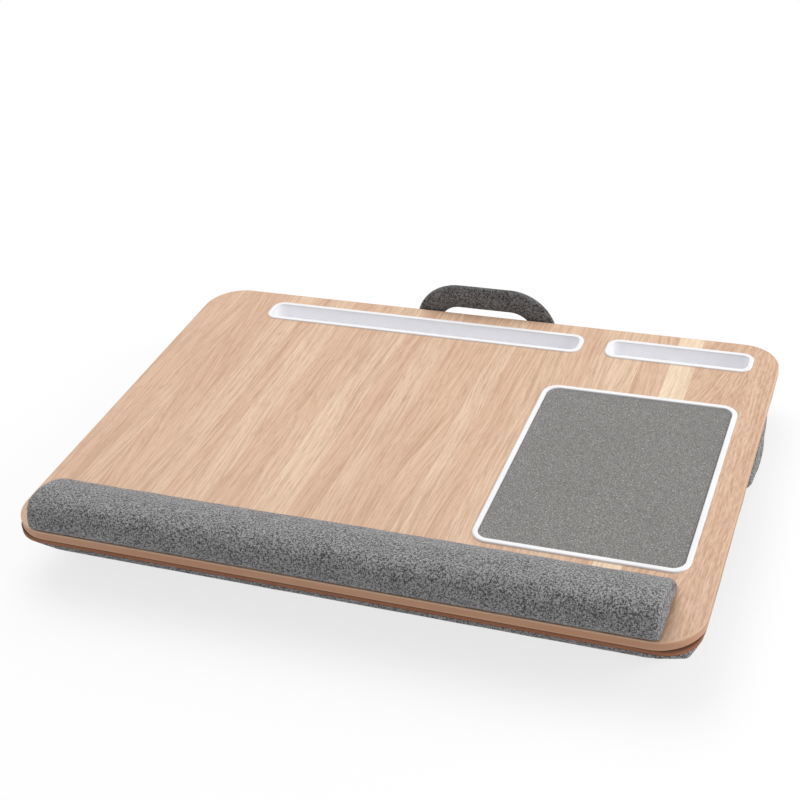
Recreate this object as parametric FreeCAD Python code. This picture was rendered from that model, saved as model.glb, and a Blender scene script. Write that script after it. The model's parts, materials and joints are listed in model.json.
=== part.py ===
"""Cushioned lap desk with tablet and phone slots, mouse pad, wrist rest and carry handle.

Millimetres. While it is modelled, X runs to the user's right from the board's middle, Y runs
back from the board's front edge and Z runs up from the surface that the cushion rests on.
Every solid is shifted on export so that the origin is the middle of the footprint.
"""
import FreeCAD, Part

import math
import os

Vector = FreeCAD.Vector

# ---- layers, from the floor up -------------------------------------------------------------
BOLSTER_HEIGHT = 42.5        # floor to the underside of the cushion deck
DECK_COVER_THICKNESS = 0.8   # fabric wrapped round the deck foam
DECK_FOAM_THICKNESS = 4.2
PANEL_THICKNESS = 5.0        # hardboard that closes the board's underside
CORE_THICKNESS = 7.2         # fibreboard core
LAMINATE_THICKNESS = 0.8     # wood-grain sheet pressed on the core

# ---- board ---------------------------------------------------------------------------------
BOARD_WIDTH = 570.0
BOARD_DEPTH = 408.0
BOARD_CORNER_RADIUS = 36.0
BAND_THICKNESS = 1.0         # edge band glued round the core
BAND_EDGE_RADIUS = 0.7

# ---- base panel and cushion deck -----------------------------------------------------------
PANEL_INSET = 1.5            # panel and deck stand this far inside the board's edge
PANEL_CORNER_RADIUS = 28.0
DECK_EDGE_RADIUS = 1.5

# ---- slot trays ----------------------------------------------------------------------------
TRAY_RIM_WIDTH = 4.2         # from the rim's outer edge to the slot
TRAY_RIM_HEIGHT = 1.5        # rim above the board
TRAY_RIM_RADIUS = 11.0       # outer corners in plan
TRAY_RIM_ROUND = 1.1         # rounding along the rim's outer top edge
TRAY_LIP_ROUND = 0.7         # rounding where the rim turns down into the slot
TRAY_WALL = 1.5
TRAY_FLOOR = 1.4
TRAY_UNDER_GAP = 0.1         # tray's underside above the deck cover
TRAY_DRAFT = 0.5             # each wall leans in by this much at the floor
TRAY_FLOOR_RADIUS = 2.0
TRAY_BACK_MARGIN = 17.3      # rim to the board's back edge
TABLET_TRAY_LENGTH = 319.6
TABLET_TRAY_WIDTH = 31.2
PHONE_TRAY_LENGTH = 133.8
PHONE_TRAY_WIDTH = 31.2
PHONE_TRAY_MARGIN = 22.7     # phone tray's rim to the board's right edge
TRAY_SPACING = 22.3          # between the two rims
LUG_LENGTH = 12.0            # snap lugs that hook under the base panel
LUG_HEIGHT = 2.4
LUG_REACH = 1.2
LUG_PITCH = 70.0             # greatest distance between lugs along a wall
LUG_END_MARGIN = 32.0        # first lug's middle from the tray's end

# ---- mouse pad -----------------------------------------------------------------------------
PAD_WIDTH = 171.7            # outside of the frame
PAD_LENGTH = 227.3
PAD_SIDE_MARGIN = 22.15      # frame to the board's right edge
PAD_FRONT_GAP = 10.7         # frame behind the wrist rest
PAD_CORNER_RADIUS = 14.5
FRAME_WIDTH = 4.6
FRAME_HEIGHT = 1.8
FRAME_OUTER_ROUND = 1.4
FRAME_INNER_ROUND = 1.0
SKIRT_WIDTH = 2.0            # part of the frame that drops into the board
POCKET_DEPTH = 3.0
PAD_SHEET_THICKNESS = 1.0
PAD_PROUD = 0.3              # sheet's face above the board

# ---- wrist rest ----------------------------------------------------------------------------
WRIST_LEFT_MARGIN = 25.0     # ends of the rest from the board's ends
WRIST_RIGHT_MARGIN = 28.0
WRIST_DEPTH = 64.5
WRIST_HEIGHT = 27.0
WRIST_FRONT = 0.8            # foot of the rest from the board's front edge
# Section of the roll as shares of its depth and height: steep to the user, easing to the back.
WRIST_SECTION_SHARES = (
    (0.015, 0.0), (0.0, 0.36), (0.05, 0.78), (0.20, 0.98),
    (0.50, 0.91), (0.78, 0.61), (0.95, 0.25), (1.0, 0.0),
)
WRIST_END_ROUND = 8.0
WRIST_COVER_THICKNESS = 1.2
WRIST_BASE_THICKNESS = 4.0
WRIST_BASE_MARGIN = 4.0      # foam wraps the base strip by this much

# ---- bolsters ------------------------------------------------------------------------------
REAR_BOLSTER_END_INSET = 1.0     # ends of the pillow from the board's ends
REAR_BOLSTER_BACK_MARGIN = 18.0  # pillow from the board's back edge
REAR_BOLSTER_DEPTH = 140.0
FRONT_BOLSTER_END_INSET = 15.0
FRONT_BOLSTER_FRONT = 30.0       # pillow from the board's front edge
FRONT_BOLSTER_DEPTH = 112.0
BOLSTER_SIDE_HEIGHT = 13.0   # upright part of the sides, above where they turn under
BOLSTER_END_RADIUS = 26.0
BOLSTER_COVER_THICKNESS = 1.0

# ---- carry handle --------------------------------------------------------------------------
HANDLE_WIDTH = 143.0
HANDLE_RISE = 28.0           # top of the loop above the board
HANDLE_STRAP_WIDTH = 24.0
HANDLE_THICKNESS = 6.0
HANDLE_EDGE_RADIUS = 2.4
HANDLE_STANDOFF = 5.0        # hinge line behind the board's back edge
HANDLE_STRAIGHT = 1.0        # straight leg between the hinge and the bend
STIFFENER_WIDTH = 16.0
STIFFENER_THICKNESS = 2.0
STIFFENER_FOOT = 0.6         # stiffener ends this far above the hinge line, below the bend
TAB_THICKNESS = 1.5
TAB_MARGIN = 1.5             # tab behind the rear bolster

# ---- fasteners -----------------------------------------------------------------------------
SCREW_RADIUS = 1.5
PANEL_SCREW_LENGTH = 10.0
PANEL_SCREW_HEAD_RADIUS = 3.0
PANEL_SCREW_MARGIN = 14.0    # from the board's edge
WRIST_SCREW_LENGTH = 8.5     # shank
WRIST_SCREW_MARGIN = 34.0    # from the end of the rest
WRIST_SCREW_COUNT = 5
WRIST_SCREW_HEAD_RADIUS = 2.8
WRIST_SCREW_HEAD_HEIGHT = 1.8
HANDLE_SCREW_LENGTH = 16.5
HANDLE_SCREW_HEAD_RADIUS = 3.0
HANDLE_SCREW_HEAD_HEIGHT = 1.8
HANDLE_SCREW_SPACING = 12.0
WASHER_RADIUS = 4.5
WASHER_THICKNESS = 0.8

# ---- clearances ----------------------------------------------------------------------------
SOFT_GAP = 0.3               # between a soft piece and what it lies in
TRAY_GAP = 0.4               # round a tray's walls
FRAME_GAP = 0.2              # round the pad frame's skirt and round the pad in it
SCREW_GAP = 0.15             # round a shank
HINGE_GAP = 0.3              # between the handle's rolled end and its tab
LUG_GAP = 0.2                # between a lug and the panel it hooks under
LUG_ROOM = 0.5               # foam cut back beyond the lugs

TOLERANCE = 0.01             # within which two coordinates count as the same

# ---- levels and places worked out from the sizes above ---------------------------------------
Z_DECK = BOLSTER_HEIGHT
Z_FOAM = Z_DECK + DECK_COVER_THICKNESS
Z_PANEL = Z_FOAM + DECK_FOAM_THICKNESS
Z_CORE = Z_PANEL + PANEL_THICKNESS
Z_LAMINATE = Z_CORE + CORE_THICKNESS
Z_TOP = Z_LAMINATE + LAMINATE_THICKNESS

BOARD_MIDDLE_Y = BOARD_DEPTH / 2
TRAY_BACK_Y = BOARD_DEPTH - TRAY_BACK_MARGIN
TRAY_OVERHANG = TRAY_RIM_WIDTH - TRAY_WALL
TRAY_BOTTOM = Z_FOAM + TRAY_UNDER_GAP
PHONE_TRAY_X = BOARD_WIDTH / 2 - PHONE_TRAY_MARGIN - PHONE_TRAY_LENGTH / 2
TABLET_TRAY_X = PHONE_TRAY_X - PHONE_TRAY_LENGTH / 2 - TRAY_SPACING - TABLET_TRAY_LENGTH / 2
WRIST_LENGTH = BOARD_WIDTH - WRIST_LEFT_MARGIN - WRIST_RIGHT_MARGIN
WRIST_X = (WRIST_LEFT_MARGIN - WRIST_RIGHT_MARGIN) / 2
WRIST_BACK_Y = WRIST_FRONT + WRIST_DEPTH
PAD_X = BOARD_WIDTH / 2 - PAD_SIDE_MARGIN - PAD_WIDTH / 2
PAD_Y = WRIST_BACK_Y + PAD_FRONT_GAP + PAD_LENGTH / 2
SHEET_TOP = Z_TOP + PAD_PROUD
SHEET_BOTTOM = SHEET_TOP - PAD_SHEET_THICKNESS
BOLSTER_LENGTH = BOARD_WIDTH - 2 * REAR_BOLSTER_END_INSET
FRONT_BOLSTER_LENGTH = BOARD_WIDTH - 2 * FRONT_BOLSTER_END_INSET
REAR_BOLSTER_FRONT = BOARD_DEPTH - REAR_BOLSTER_BACK_MARGIN - REAR_BOLSTER_DEPTH
BOLSTER_BELLY_RADIUS = BOLSTER_HEIGHT - BOLSTER_SIDE_HEIGHT
WRIST_FOOT_SETBACK = WRIST_COVER_THICKNESS + SOFT_GAP + WRIST_BASE_MARGIN
HINGE_Y = BOARD_DEPTH + HANDLE_STANDOFF
HINGE_Z = Z_DECK - TAB_THICKNESS / 2
HANDLE_LEG_X = (HANDLE_WIDTH - HANDLE_STRAP_WIDTH) / 2
LOOP_BEND_Z = HINGE_Z + HANDLE_STRAIGHT
LOOP_RADIUS = Z_TOP + HANDLE_RISE - HANDLE_STRAP_WIDTH / 2 - LOOP_BEND_Z
LOOP_BEND_X = HANDLE_LEG_X - LOOP_RADIUS
TAB_FRONT = REAR_BOLSTER_FRONT + REAR_BOLSTER_DEPTH + TAB_MARGIN
TAB_BACK = HINGE_Y - HANDLE_THICKNESS / 2 - HINGE_GAP
HANDLE_SCREW_Y = (TAB_FRONT + BOARD_DEPTH - PANEL_INSET - BAND_THICKNESS) / 2
OVERALL_DEPTH = HINGE_Y + HANDLE_THICKNESS / 2
ORIGIN = Vector(0, OVERALL_DEPTH / 2, 0)


# ---- helpers -------------------------------------------------------------------------------
def rounded_outline(width, depth, radius, middle, z):
    """Closed wire of a rounded rectangle, level at height z."""
    x0 = middle[0] - width / 2
    y0 = middle[1] - depth / 2
    x1 = x0 + width
    y1 = y0 + depth
    bend = radius * (1 - math.sqrt(0.5))
    starts = ((x1 - radius, y0), (x1, y1 - radius), (x0 + radius, y1), (x0, y0 + radius))
    mids = ((x1 - bend, y0 + bend), (x1 - bend, y1 - bend), (x0 + bend, y1 - bend), (x0 + bend, y0 + bend))
    ends = ((x1, y0 + radius), (x1 - radius, y1), (x0, y1 - radius), (x0 + radius, y0))
    edges = []
    for i in range(4):
        start, mid, end = (Vector(p[0], p[1], z) for p in (starts[i], mids[i], ends[i]))
        following = Vector(starts[(i + 1) % 4][0], starts[(i + 1) % 4][1], z)
        edges.append(Part.Arc(start, mid, end).toShape())
        edges.append(Part.makeLine(end, following))
    return Part.Wire(edges)


def rounded_slab(width, depth, radius, middle, z0, z1):
    """Upright prism on a rounded rectangle."""
    face = Part.Face(rounded_outline(width, depth, radius, middle, z0))
    return face.extrude(Vector(0, 0, z1 - z0))


def inset_slab(size, inset, middle, z0, z1):
    """Rounded slab whose outline (width, depth, radius) is drawn in on every side."""
    width, depth, radius = size
    return rounded_slab(width - 2 * inset, depth - 2 * inset, radius - inset, middle, z0, z1)


def rim_edges(shape, z, size, middle):
    """Edges at height z that lie on the outline of a rounded slab of this size."""
    outline = rounded_outline(*size, middle, z)
    return [e for e in shape.Edges if on_outline(e, outline, z)]


def on_outline(edge, outline, z):
    """Whether both ends of an edge lie on the outline at height z."""
    box = edge.BoundBox
    level = abs(box.ZMin - z) < TOLERANCE and abs(box.ZMax - z) < TOLERANCE
    if not level:
        return False
    points = [v.Point for v in edge.Vertexes]
    return all(outline.distToShape(Part.Vertex(p))[0] < TOLERANCE for p in points)


def upright_cylinder(radius, x, y, z0, z1):
    return Part.makeCylinder(radius, z1 - z0, Vector(x, y, z0))


def cut_all(shape, tools):
    """The shape without any of the tools."""
    return shape.cut(Part.makeCompound(tools)).removeSplitter()


def spread(first, last, pitch):
    """Even places from first to last, no further apart than the pitch."""
    count = max(1, math.ceil((last - first) / pitch - 1e-9))
    return [first + (last - first) * i / count for i in range(count + 1)]


# ---- outlines shared by the board's layers -------------------------------------------------
BOARD = (BOARD_WIDTH, BOARD_DEPTH, BOARD_CORNER_RADIUS)
PANEL = (BOARD_WIDTH - 2 * PANEL_INSET, BOARD_DEPTH - 2 * PANEL_INSET, PANEL_CORNER_RADIUS)
PAD = (PAD_WIDTH, PAD_LENGTH, PAD_CORNER_RADIUS)
MIDDLE = (0.0, BOARD_MIDDLE_Y)
PAD_MIDDLE = (PAD_X, PAD_Y)
TRAYS = {
    "tablet_tray": (
        (TABLET_TRAY_LENGTH, TABLET_TRAY_WIDTH, TRAY_RIM_RADIUS),
        (TABLET_TRAY_X, TRAY_BACK_Y - TABLET_TRAY_WIDTH / 2),
    ),
    "phone_tray": (
        (PHONE_TRAY_LENGTH, PHONE_TRAY_WIDTH, TRAY_RIM_RADIUS),
        (PHONE_TRAY_X, TRAY_BACK_Y - PHONE_TRAY_WIDTH / 2),
    ),
}


def tray_holes(z0, z1, room):
    """Prisms that clear the walls of both trays by the given room."""
    return [inset_slab(size, TRAY_OVERHANG - room, middle, z0, z1) for size, middle in TRAYS.values()]


def pad_pocket():
    """Pocket that the pad frame's skirt drops into."""
    inset = FRAME_WIDTH - SKIRT_WIDTH - FRAME_GAP
    return inset_slab(PAD, inset, PAD_MIDDLE, Z_TOP - POCKET_DEPTH, Z_TOP)


# ---- fastener places -----------------------------------------------------------------------
def panel_screw_places():
    """Screws round the base panel, clear of the trays and of the handle's screws."""
    x = BOARD_WIDTH / 2 - PANEL_SCREW_MARGIN
    front = WRIST_BACK_Y + PANEL_SCREW_HEAD_RADIUS
    back = TRAY_BACK_Y - TABLET_TRAY_WIDTH - PANEL_SCREW_MARGIN
    middle = (front + back) / 2
    sides = [(sx * x, y) for sx in (-1, 1) for y in (front, middle, back)]
    return sides + [(0.0, front), (0.0, back)]


def wrist_screw_places():
    """Screws in a row under the middle of the wrist rest."""
    reach = WRIST_LENGTH / 2 - WRIST_SCREW_MARGIN
    step = 2 * reach / (WRIST_SCREW_COUNT - 1)
    y = WRIST_FRONT + WRIST_DEPTH / 2
    return [(WRIST_X - reach + i * step, y) for i in range(WRIST_SCREW_COUNT)]


def handle_screw_places():
    """Two screws through each tab."""
    half = HANDLE_SCREW_SPACING / 2
    return [(side * HANDLE_LEG_X + d, HANDLE_SCREW_Y) for side in (-1, 1) for d in (-half, half)]


def shank_holes(places, z0, z1):
    return [upright_cylinder(SCREW_RADIUS + SCREW_GAP, x, y, z0, z1) for x, y in places]


# ---- board ---------------------------------------------------------------------------------
def board_core():
    """Fibreboard with the slots, the pad's pocket and blind holes for the screws."""
    core = inset_slab(BOARD, BAND_THICKNESS, MIDDLE, Z_CORE, Z_LAMINATE)
    pilot_top = Z_PANEL + PANEL_SCREW_LENGTH + SCREW_GAP
    handle_top = HINGE_Z - TAB_THICKNESS / 2 - WASHER_THICKNESS + HANDLE_SCREW_LENGTH + SCREW_GAP
    head_room = WRIST_SCREW_HEAD_RADIUS + SCREW_GAP
    head_top = Z_CORE + WRIST_SCREW_HEAD_HEIGHT
    cuts = tray_holes(Z_CORE, Z_LAMINATE, TRAY_GAP)
    cuts.append(pad_pocket())
    cuts += shank_holes(panel_screw_places(), Z_CORE, pilot_top)
    cuts += shank_holes(handle_screw_places(), Z_CORE, handle_top)
    cuts += shank_holes(wrist_screw_places(), Z_CORE, Z_LAMINATE)
    cuts += [upright_cylinder(head_room, x, y, Z_CORE, head_top) for x, y in wrist_screw_places()]
    return cut_all(core, cuts)


def top_laminate():
    """Wood-grain sheet, cut out like the core."""
    sheet = inset_slab(BOARD, BAND_THICKNESS, MIDDLE, Z_LAMINATE, Z_TOP)
    cuts = tray_holes(Z_LAMINATE, Z_TOP, TRAY_GAP)
    cuts.append(pad_pocket())
    cuts += shank_holes(wrist_screw_places(), Z_LAMINATE, Z_TOP)
    return cut_all(sheet, cuts)


def edge_band():
    """Band round the board's edge, with softened outer corners."""
    outer = rounded_slab(*BOARD, MIDDLE, Z_CORE, Z_TOP)
    edges = rim_edges(outer, Z_CORE, BOARD, MIDDLE) + rim_edges(outer, Z_TOP, BOARD, MIDDLE)
    outer = outer.makeFillet(BAND_EDGE_RADIUS, edges)
    return outer.cut(inset_slab(BOARD, BAND_THICKNESS, MIDDLE, Z_CORE, Z_TOP))


# ---- trays ---------------------------------------------------------------------------------
def tray(size, middle):
    """Moulded slot tray: domed rim on the board, tapered walls, rounded floor, snap lugs."""
    width, depth, radius = size
    rim_top = Z_TOP + TRAY_RIM_HEIGHT
    rim = rounded_slab(width, depth, radius, middle, Z_TOP, rim_top)
    rim = rim.makeFillet(TRAY_RIM_ROUND, rim_edges(rim, rim_top, size, middle))
    body = inset_slab(size, TRAY_OVERHANG, middle, TRAY_BOTTOM, Z_TOP)
    body = body.fuse([rim] + snap_lugs(size, middle)).removeSplitter()
    body = body.cut(tray_cavity(size, middle, TRAY_BOTTOM + TRAY_FLOOR, rim_top))
    lip = (width - 2 * TRAY_RIM_WIDTH, depth - 2 * TRAY_RIM_WIDTH, radius - TRAY_RIM_WIDTH)
    return body.makeFillet(TRAY_LIP_ROUND, rim_edges(body, rim_top, lip, middle))


def tray_cavity(size, middle, floor, top):
    """Slot that narrows evenly to a rounded floor."""
    width, depth, radius = (
        size[0] - 2 * TRAY_RIM_WIDTH, size[1] - 2 * TRAY_RIM_WIDTH, size[2] - TRAY_RIM_WIDTH,
    )
    lean = 2 * TRAY_DRAFT
    lower = rounded_outline(width - lean, depth - lean, radius - TRAY_DRAFT, middle, floor)
    upper = rounded_outline(width, depth, radius, middle, top)
    cavity = Part.makeLoft([lower, upper], True, True)
    small = (width - lean, depth - lean, radius - TRAY_DRAFT)
    return cavity.makeFillet(TRAY_FLOOR_RADIUS, rim_edges(cavity, floor, small, middle))


def snap_lugs(size, middle):
    """Wedges along both long walls, with a square shoulder just under the base panel."""
    wall = size[1] / 2 - TRAY_OVERHANG
    shoulder = Z_PANEL - LUG_GAP
    root = TRAY_WALL / 2
    first = middle[0] - size[0] / 2 + LUG_END_MARGIN
    lugs = []
    for side in (-1, 1):
        y = middle[1] + side * wall
        profile = [
            Vector(0, y - side * root, shoulder), Vector(0, y + side * LUG_REACH, shoulder),
            Vector(0, y, shoulder - LUG_HEIGHT), Vector(0, y - side * root, shoulder - LUG_HEIGHT),
        ]
        face = Part.Face(Part.makePolygon(profile + profile[:1]))
        wedge = face.extrude(Vector(LUG_LENGTH, 0, 0))
        for x in spread(first, 2 * middle[0] - first, LUG_PITCH):
            lug = wedge.copy()
            lug.translate(Vector(x - LUG_LENGTH / 2, 0, 0))
            lugs.append(lug)
    return lugs


# ---- mouse pad -----------------------------------------------------------------------------
def mouse_pad_frame():
    """Domed ring on the board with a skirt that drops into the pocket."""
    top = Z_TOP + FRAME_HEIGHT
    bottom = Z_TOP - POCKET_DEPTH
    inner = (PAD_WIDTH - 2 * FRAME_WIDTH, PAD_LENGTH - 2 * FRAME_WIDTH, PAD_CORNER_RADIUS - FRAME_WIDTH)
    flange = rounded_slab(*PAD, PAD_MIDDLE, Z_TOP, top)
    flange = flange.makeFillet(FRAME_OUTER_ROUND, rim_edges(flange, top, PAD, PAD_MIDDLE))
    skirt = inset_slab(PAD, FRAME_WIDTH - SKIRT_WIDTH, PAD_MIDDLE, bottom, Z_TOP)
    ring = flange.fuse(skirt).cut(inset_slab(PAD, FRAME_WIDTH, PAD_MIDDLE, bottom, top))
    return ring.makeFillet(FRAME_INNER_ROUND, rim_edges(ring, top, inner, PAD_MIDDLE))


def mouse_pad_sheet():
    return inset_slab(PAD, FRAME_WIDTH + FRAME_GAP, PAD_MIDDLE, SHEET_BOTTOM, SHEET_TOP)


def mouse_pad_backing():
    return inset_slab(PAD, FRAME_WIDTH + FRAME_GAP, PAD_MIDDLE, Z_TOP - POCKET_DEPTH, SHEET_BOTTOM)


# ---- wrist rest ----------------------------------------------------------------------------
def wrist_roll(inset):
    """The roll drawn in by inset on its curved faces, with rounded ends, flat on the board."""
    depth = WRIST_DEPTH - 2 * inset
    height = WRIST_HEIGHT - inset
    length = WRIST_LENGTH - 2 * inset
    x0 = WRIST_X - length / 2
    y0 = WRIST_FRONT + inset
    points = [Vector(x0, y0 + u * depth, Z_TOP + v * height) for u, v in WRIST_SECTION_SHARES]
    curve = Part.BSplineCurve()
    curve.interpolate(points)
    section = Part.Face(Part.Wire([curve.toShape(), Part.makeLine(points[-1], points[0])]))
    roll = section.extrude(Vector(length, 0, 0))
    end_edges = [e for e in roll.Edges if is_end_arch(e, x0, x0 + length)]
    return roll.makeFillet(WRIST_END_ROUND - inset, end_edges)


def is_end_arch(edge, x0, x1):
    """Whether an edge is the curved outline of one end of the roll."""
    box = edge.BoundBox
    at_an_end = min(abs(box.XMin - x0), abs(box.XMax - x1)) < TOLERANCE
    return at_an_end and box.XLength < TOLERANCE and box.ZLength > TOLERANCE


def wrist_base_size():
    return (WRIST_LENGTH - 2 * WRIST_FOOT_SETBACK, WRIST_DEPTH - 2 * WRIST_FOOT_SETBACK)


def wrist_base_block(room, height):
    """Block on the board in the shape of the base strip, with room on every side."""
    length, depth = wrist_base_size()
    corner = Vector(WRIST_X - length / 2 - room, WRIST_FRONT + WRIST_FOOT_SETBACK - room, Z_TOP)
    return Part.makeBox(length + 2 * room, depth + 2 * room, height, corner)


def wrist_rest_base():
    """Strip that takes the screws."""
    strip = wrist_base_block(0.0, WRIST_BASE_THICKNESS)
    screw_top = Z_CORE + WRIST_SCREW_HEAD_HEIGHT + WRIST_SCREW_LENGTH + SCREW_GAP
    return cut_all(strip, shank_holes(wrist_screw_places(), Z_TOP, screw_top))


def wrist_rest_foam():
    """Foam body over the base strip."""
    foam = wrist_roll(WRIST_COVER_THICKNESS + SOFT_GAP)
    return foam.cut(wrist_base_block(SOFT_GAP, WRIST_BASE_THICKNESS))


def wrist_rest_cover():
    """Fabric shell over the foam, open underneath."""
    return wrist_roll(0.0).cut(wrist_roll(WRIST_COVER_THICKNESS))


# ---- base panel and deck -------------------------------------------------------------------
def base_panel():
    """Hardboard sheet with countersunk holes."""
    sheet = rounded_slab(*PANEL, MIDDLE, Z_PANEL, Z_CORE)
    cuts = tray_holes(Z_PANEL, Z_CORE, TRAY_GAP)
    cuts += shank_holes(handle_screw_places(), Z_PANEL, Z_CORE)
    cuts += [countersunk(x, y, SCREW_GAP) for x, y in panel_screw_places()]
    return cut_all(sheet, cuts)


def deck_foam():
    """Thin foam sheet under the panel, open round the trays."""
    sheet = inset_slab(PANEL, DECK_COVER_THICKNESS + SOFT_GAP, MIDDLE, Z_FOAM, Z_PANEL)
    cuts = tray_holes(Z_FOAM, Z_PANEL, LUG_REACH + LUG_ROOM)
    cuts += shank_holes(handle_screw_places(), Z_FOAM, Z_PANEL)
    return cut_all(sheet, cuts)


def deck_cover():
    """Fabric drawn round the foam sheet, closed underneath."""
    tub = rounded_slab(*PANEL, MIDDLE, Z_DECK, Z_PANEL)
    tub = tub.makeFillet(DECK_EDGE_RADIUS, rim_edges(tub, Z_DECK, PANEL, MIDDLE))
    cuts = [inset_slab(PANEL, DECK_COVER_THICKNESS, MIDDLE, Z_FOAM, Z_PANEL)]
    cuts += shank_holes(handle_screw_places(), Z_DECK, Z_FOAM)
    return cut_all(tub, cuts)


# ---- bolsters ------------------------------------------------------------------------------
BOLSTERS = {
    "front_bolster": (FRONT_BOLSTER_LENGTH, FRONT_BOLSTER_FRONT, FRONT_BOLSTER_DEPTH),
    "rear_bolster": (BOLSTER_LENGTH, REAR_BOLSTER_FRONT, REAR_BOLSTER_DEPTH),
}


def bolster(length, front, depth, inset):
    """Pillow under the deck: upright sides that turn under to a flat belly, rounded ends."""
    radius = BOLSTER_BELLY_RADIUS - inset
    x0 = -length / 2 + inset
    y0 = front + inset
    y1 = front + depth - inset
    z0 = inset
    bend = radius * (1 - math.sqrt(0.5))
    corners = [
        Vector(x0, y0, Z_DECK), Vector(x0, y0, z0 + radius),
        Vector(x0, y0 + radius, z0), Vector(x0, y1 - radius, z0),
        Vector(x0, y1, z0 + radius), Vector(x0, y1, Z_DECK),
    ]
    edges = [
        Part.makeLine(corners[0], corners[1]),
        Part.Arc(corners[1], Vector(x0, y0 + bend, z0 + bend), corners[2]).toShape(),
        Part.makeLine(corners[2], corners[3]),
        Part.Arc(corners[3], Vector(x0, y1 - bend, z0 + bend), corners[4]).toShape(),
        Part.makeLine(corners[4], corners[5]),
        Part.makeLine(corners[5], corners[0]),
    ]
    pillow = Part.Face(Part.Wire(edges)).extrude(Vector(length - 2 * inset, 0, 0))
    ends = [e for e in pillow.Edges if is_bolster_end(e)]
    return pillow.makeFillet(BOLSTER_END_RADIUS - inset, ends)


def is_bolster_end(edge):
    """Whether an edge bounds one end of the pillow, apart from its top."""
    box = edge.BoundBox
    return box.XLength < TOLERANCE and box.ZMin < Z_DECK - TOLERANCE


def bolster_cover(size):
    return bolster(*size, 0.0).cut(bolster(*size, BOLSTER_COVER_THICKNESS))


def bolster_fill(size):
    return bolster(*size, BOLSTER_COVER_THICKNESS + SOFT_GAP)


# ---- handle --------------------------------------------------------------------------------
def loop_path(offset, foot):
    """Edges of the handle's outline from leg to leg, offset outwards from the strap's middle."""
    radius = LOOP_RADIUS + offset
    diagonal = radius * math.sqrt(0.5)

    def point(side, dx, dz):
        return Vector(side * (LOOP_BEND_X + dx), HINGE_Y, LOOP_BEND_Z + dz)

    def corner(side):
        return point(side, radius, 0), point(side, diagonal, diagonal), point(side, 0, radius)

    left, left_mid, left_top = corner(-1)
    right, right_mid, right_top = corner(1)
    return [
        Part.makeLine(Vector(left.x, HINGE_Y, foot), left),
        Part.Arc(left, left_mid, left_top).toShape(),
        Part.makeLine(left_top, right_top),
        Part.Arc(right_top, right_mid, right).toShape(),
        Part.makeLine(right, Vector(right.x, HINGE_Y, foot)),
    ]


def handle_loop():
    """D-shaped padded loop that stands on the hinge line, with legs rolled round it."""
    foot = (-HANDLE_LEG_X, HINGE_Y)
    size = (HANDLE_STRAP_WIDTH, HANDLE_THICKNESS, HANDLE_EDGE_RADIUS)
    leg = rounded_slab(*size, foot, HINGE_Z, LOOP_BEND_Z)
    section = Part.Face(rounded_outline(*size, foot, LOOP_BEND_Z))
    centre = Vector(-LOOP_BEND_X, HINGE_Y, LOOP_BEND_Z)
    bend = section.revolve(centre, Vector(0, 1, 0), 90)
    section.rotate(centre, Vector(0, 1, 0), 90)
    grip = section.extrude(Vector(2 * LOOP_BEND_X, 0, 0))
    half = leg.fuse([bend, rolled_end(-HANDLE_LEG_X)])
    other_half = half.mirror(Vector(0, 0, 0), Vector(1, 0, 0))
    return grip.fuse([half, other_half]).removeSplitter()


def rolled_end(x):
    """Leg end rolled into a short bar along the hinge line."""
    start = Vector(x - HANDLE_STRAP_WIDTH / 2, HINGE_Y, HINGE_Z)
    bar = Part.makeCylinder(HANDLE_THICKNESS / 2, HANDLE_STRAP_WIDTH, start, Vector(1, 0, 0))
    rims = [e for e in bar.Edges if e.BoundBox.XLength < TOLERANCE]
    return bar.makeFillet(HANDLE_EDGE_RADIUS, rims)


def stiffener(room):
    """Flat plate inside the handle, with room on every side."""
    foot = HINGE_Z + STIFFENER_FOOT - room
    half = STIFFENER_WIDTH / 2 + room
    outer = loop_path(half, foot)
    inner = loop_path(-half, foot)
    ends = [
        Part.makeLine(outer[0].Vertexes[0].Point, inner[0].Vertexes[0].Point),
        Part.makeLine(outer[-1].Vertexes[-1].Point, inner[-1].Vertexes[-1].Point),
    ]
    face = Part.Face(Part.Wire(Part.__sortEdges__(outer + inner + ends)))
    plate = face.extrude(Vector(0, STIFFENER_THICKNESS + 2 * room, 0))
    plate.translate(Vector(0, -STIFFENER_THICKNESS / 2 - room, 0))
    return plate


def handle_cover():
    """Padded fabric skin of the handle."""
    return handle_loop().cut(stiffener(SOFT_GAP))


def handle_tabs():
    """Webbing tabs under the deck's back margin that carry the handle."""
    tabs = []
    for side in (-1, 1):
        corner = Vector(side * HANDLE_LEG_X - HANDLE_STRAP_WIDTH / 2, TAB_FRONT, Z_DECK - TAB_THICKNESS)
        tabs.append(Part.makeBox(HANDLE_STRAP_WIDTH, TAB_BACK - TAB_FRONT, TAB_THICKNESS, corner))
    holes = shank_holes(handle_screw_places(), Z_DECK - TAB_THICKNESS, Z_DECK)
    return cut_all(Part.makeCompound(tabs), holes)


# ---- fasteners -----------------------------------------------------------------------------
def countersunk(x, y, room):
    """Countersunk screw from under the panel, or with room, the hole for it."""
    head = PANEL_SCREW_HEAD_RADIUS
    depth = head - SCREW_RADIUS
    cone = Part.makeCone(head + room, SCREW_RADIUS + room, depth, Vector(x, y, Z_PANEL))
    shank = upright_cylinder(SCREW_RADIUS + room, x, y, Z_PANEL, Z_PANEL + PANEL_SCREW_LENGTH)
    return cone.fuse(shank).removeSplitter()


def pan_head(x, y, z, head_radius, head_height, length):
    """Screw whose head lies under height z and whose shank runs up from it."""
    head = upright_cylinder(head_radius, x, y, z - head_height, z)
    lower = [e for e in head.Edges if e.BoundBox.ZMax < z - head_height + TOLERANCE]
    head = head.makeFillet(head_height / 2, lower)
    return head.fuse(upright_cylinder(SCREW_RADIUS, x, y, z, z + length)).removeSplitter()


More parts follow.
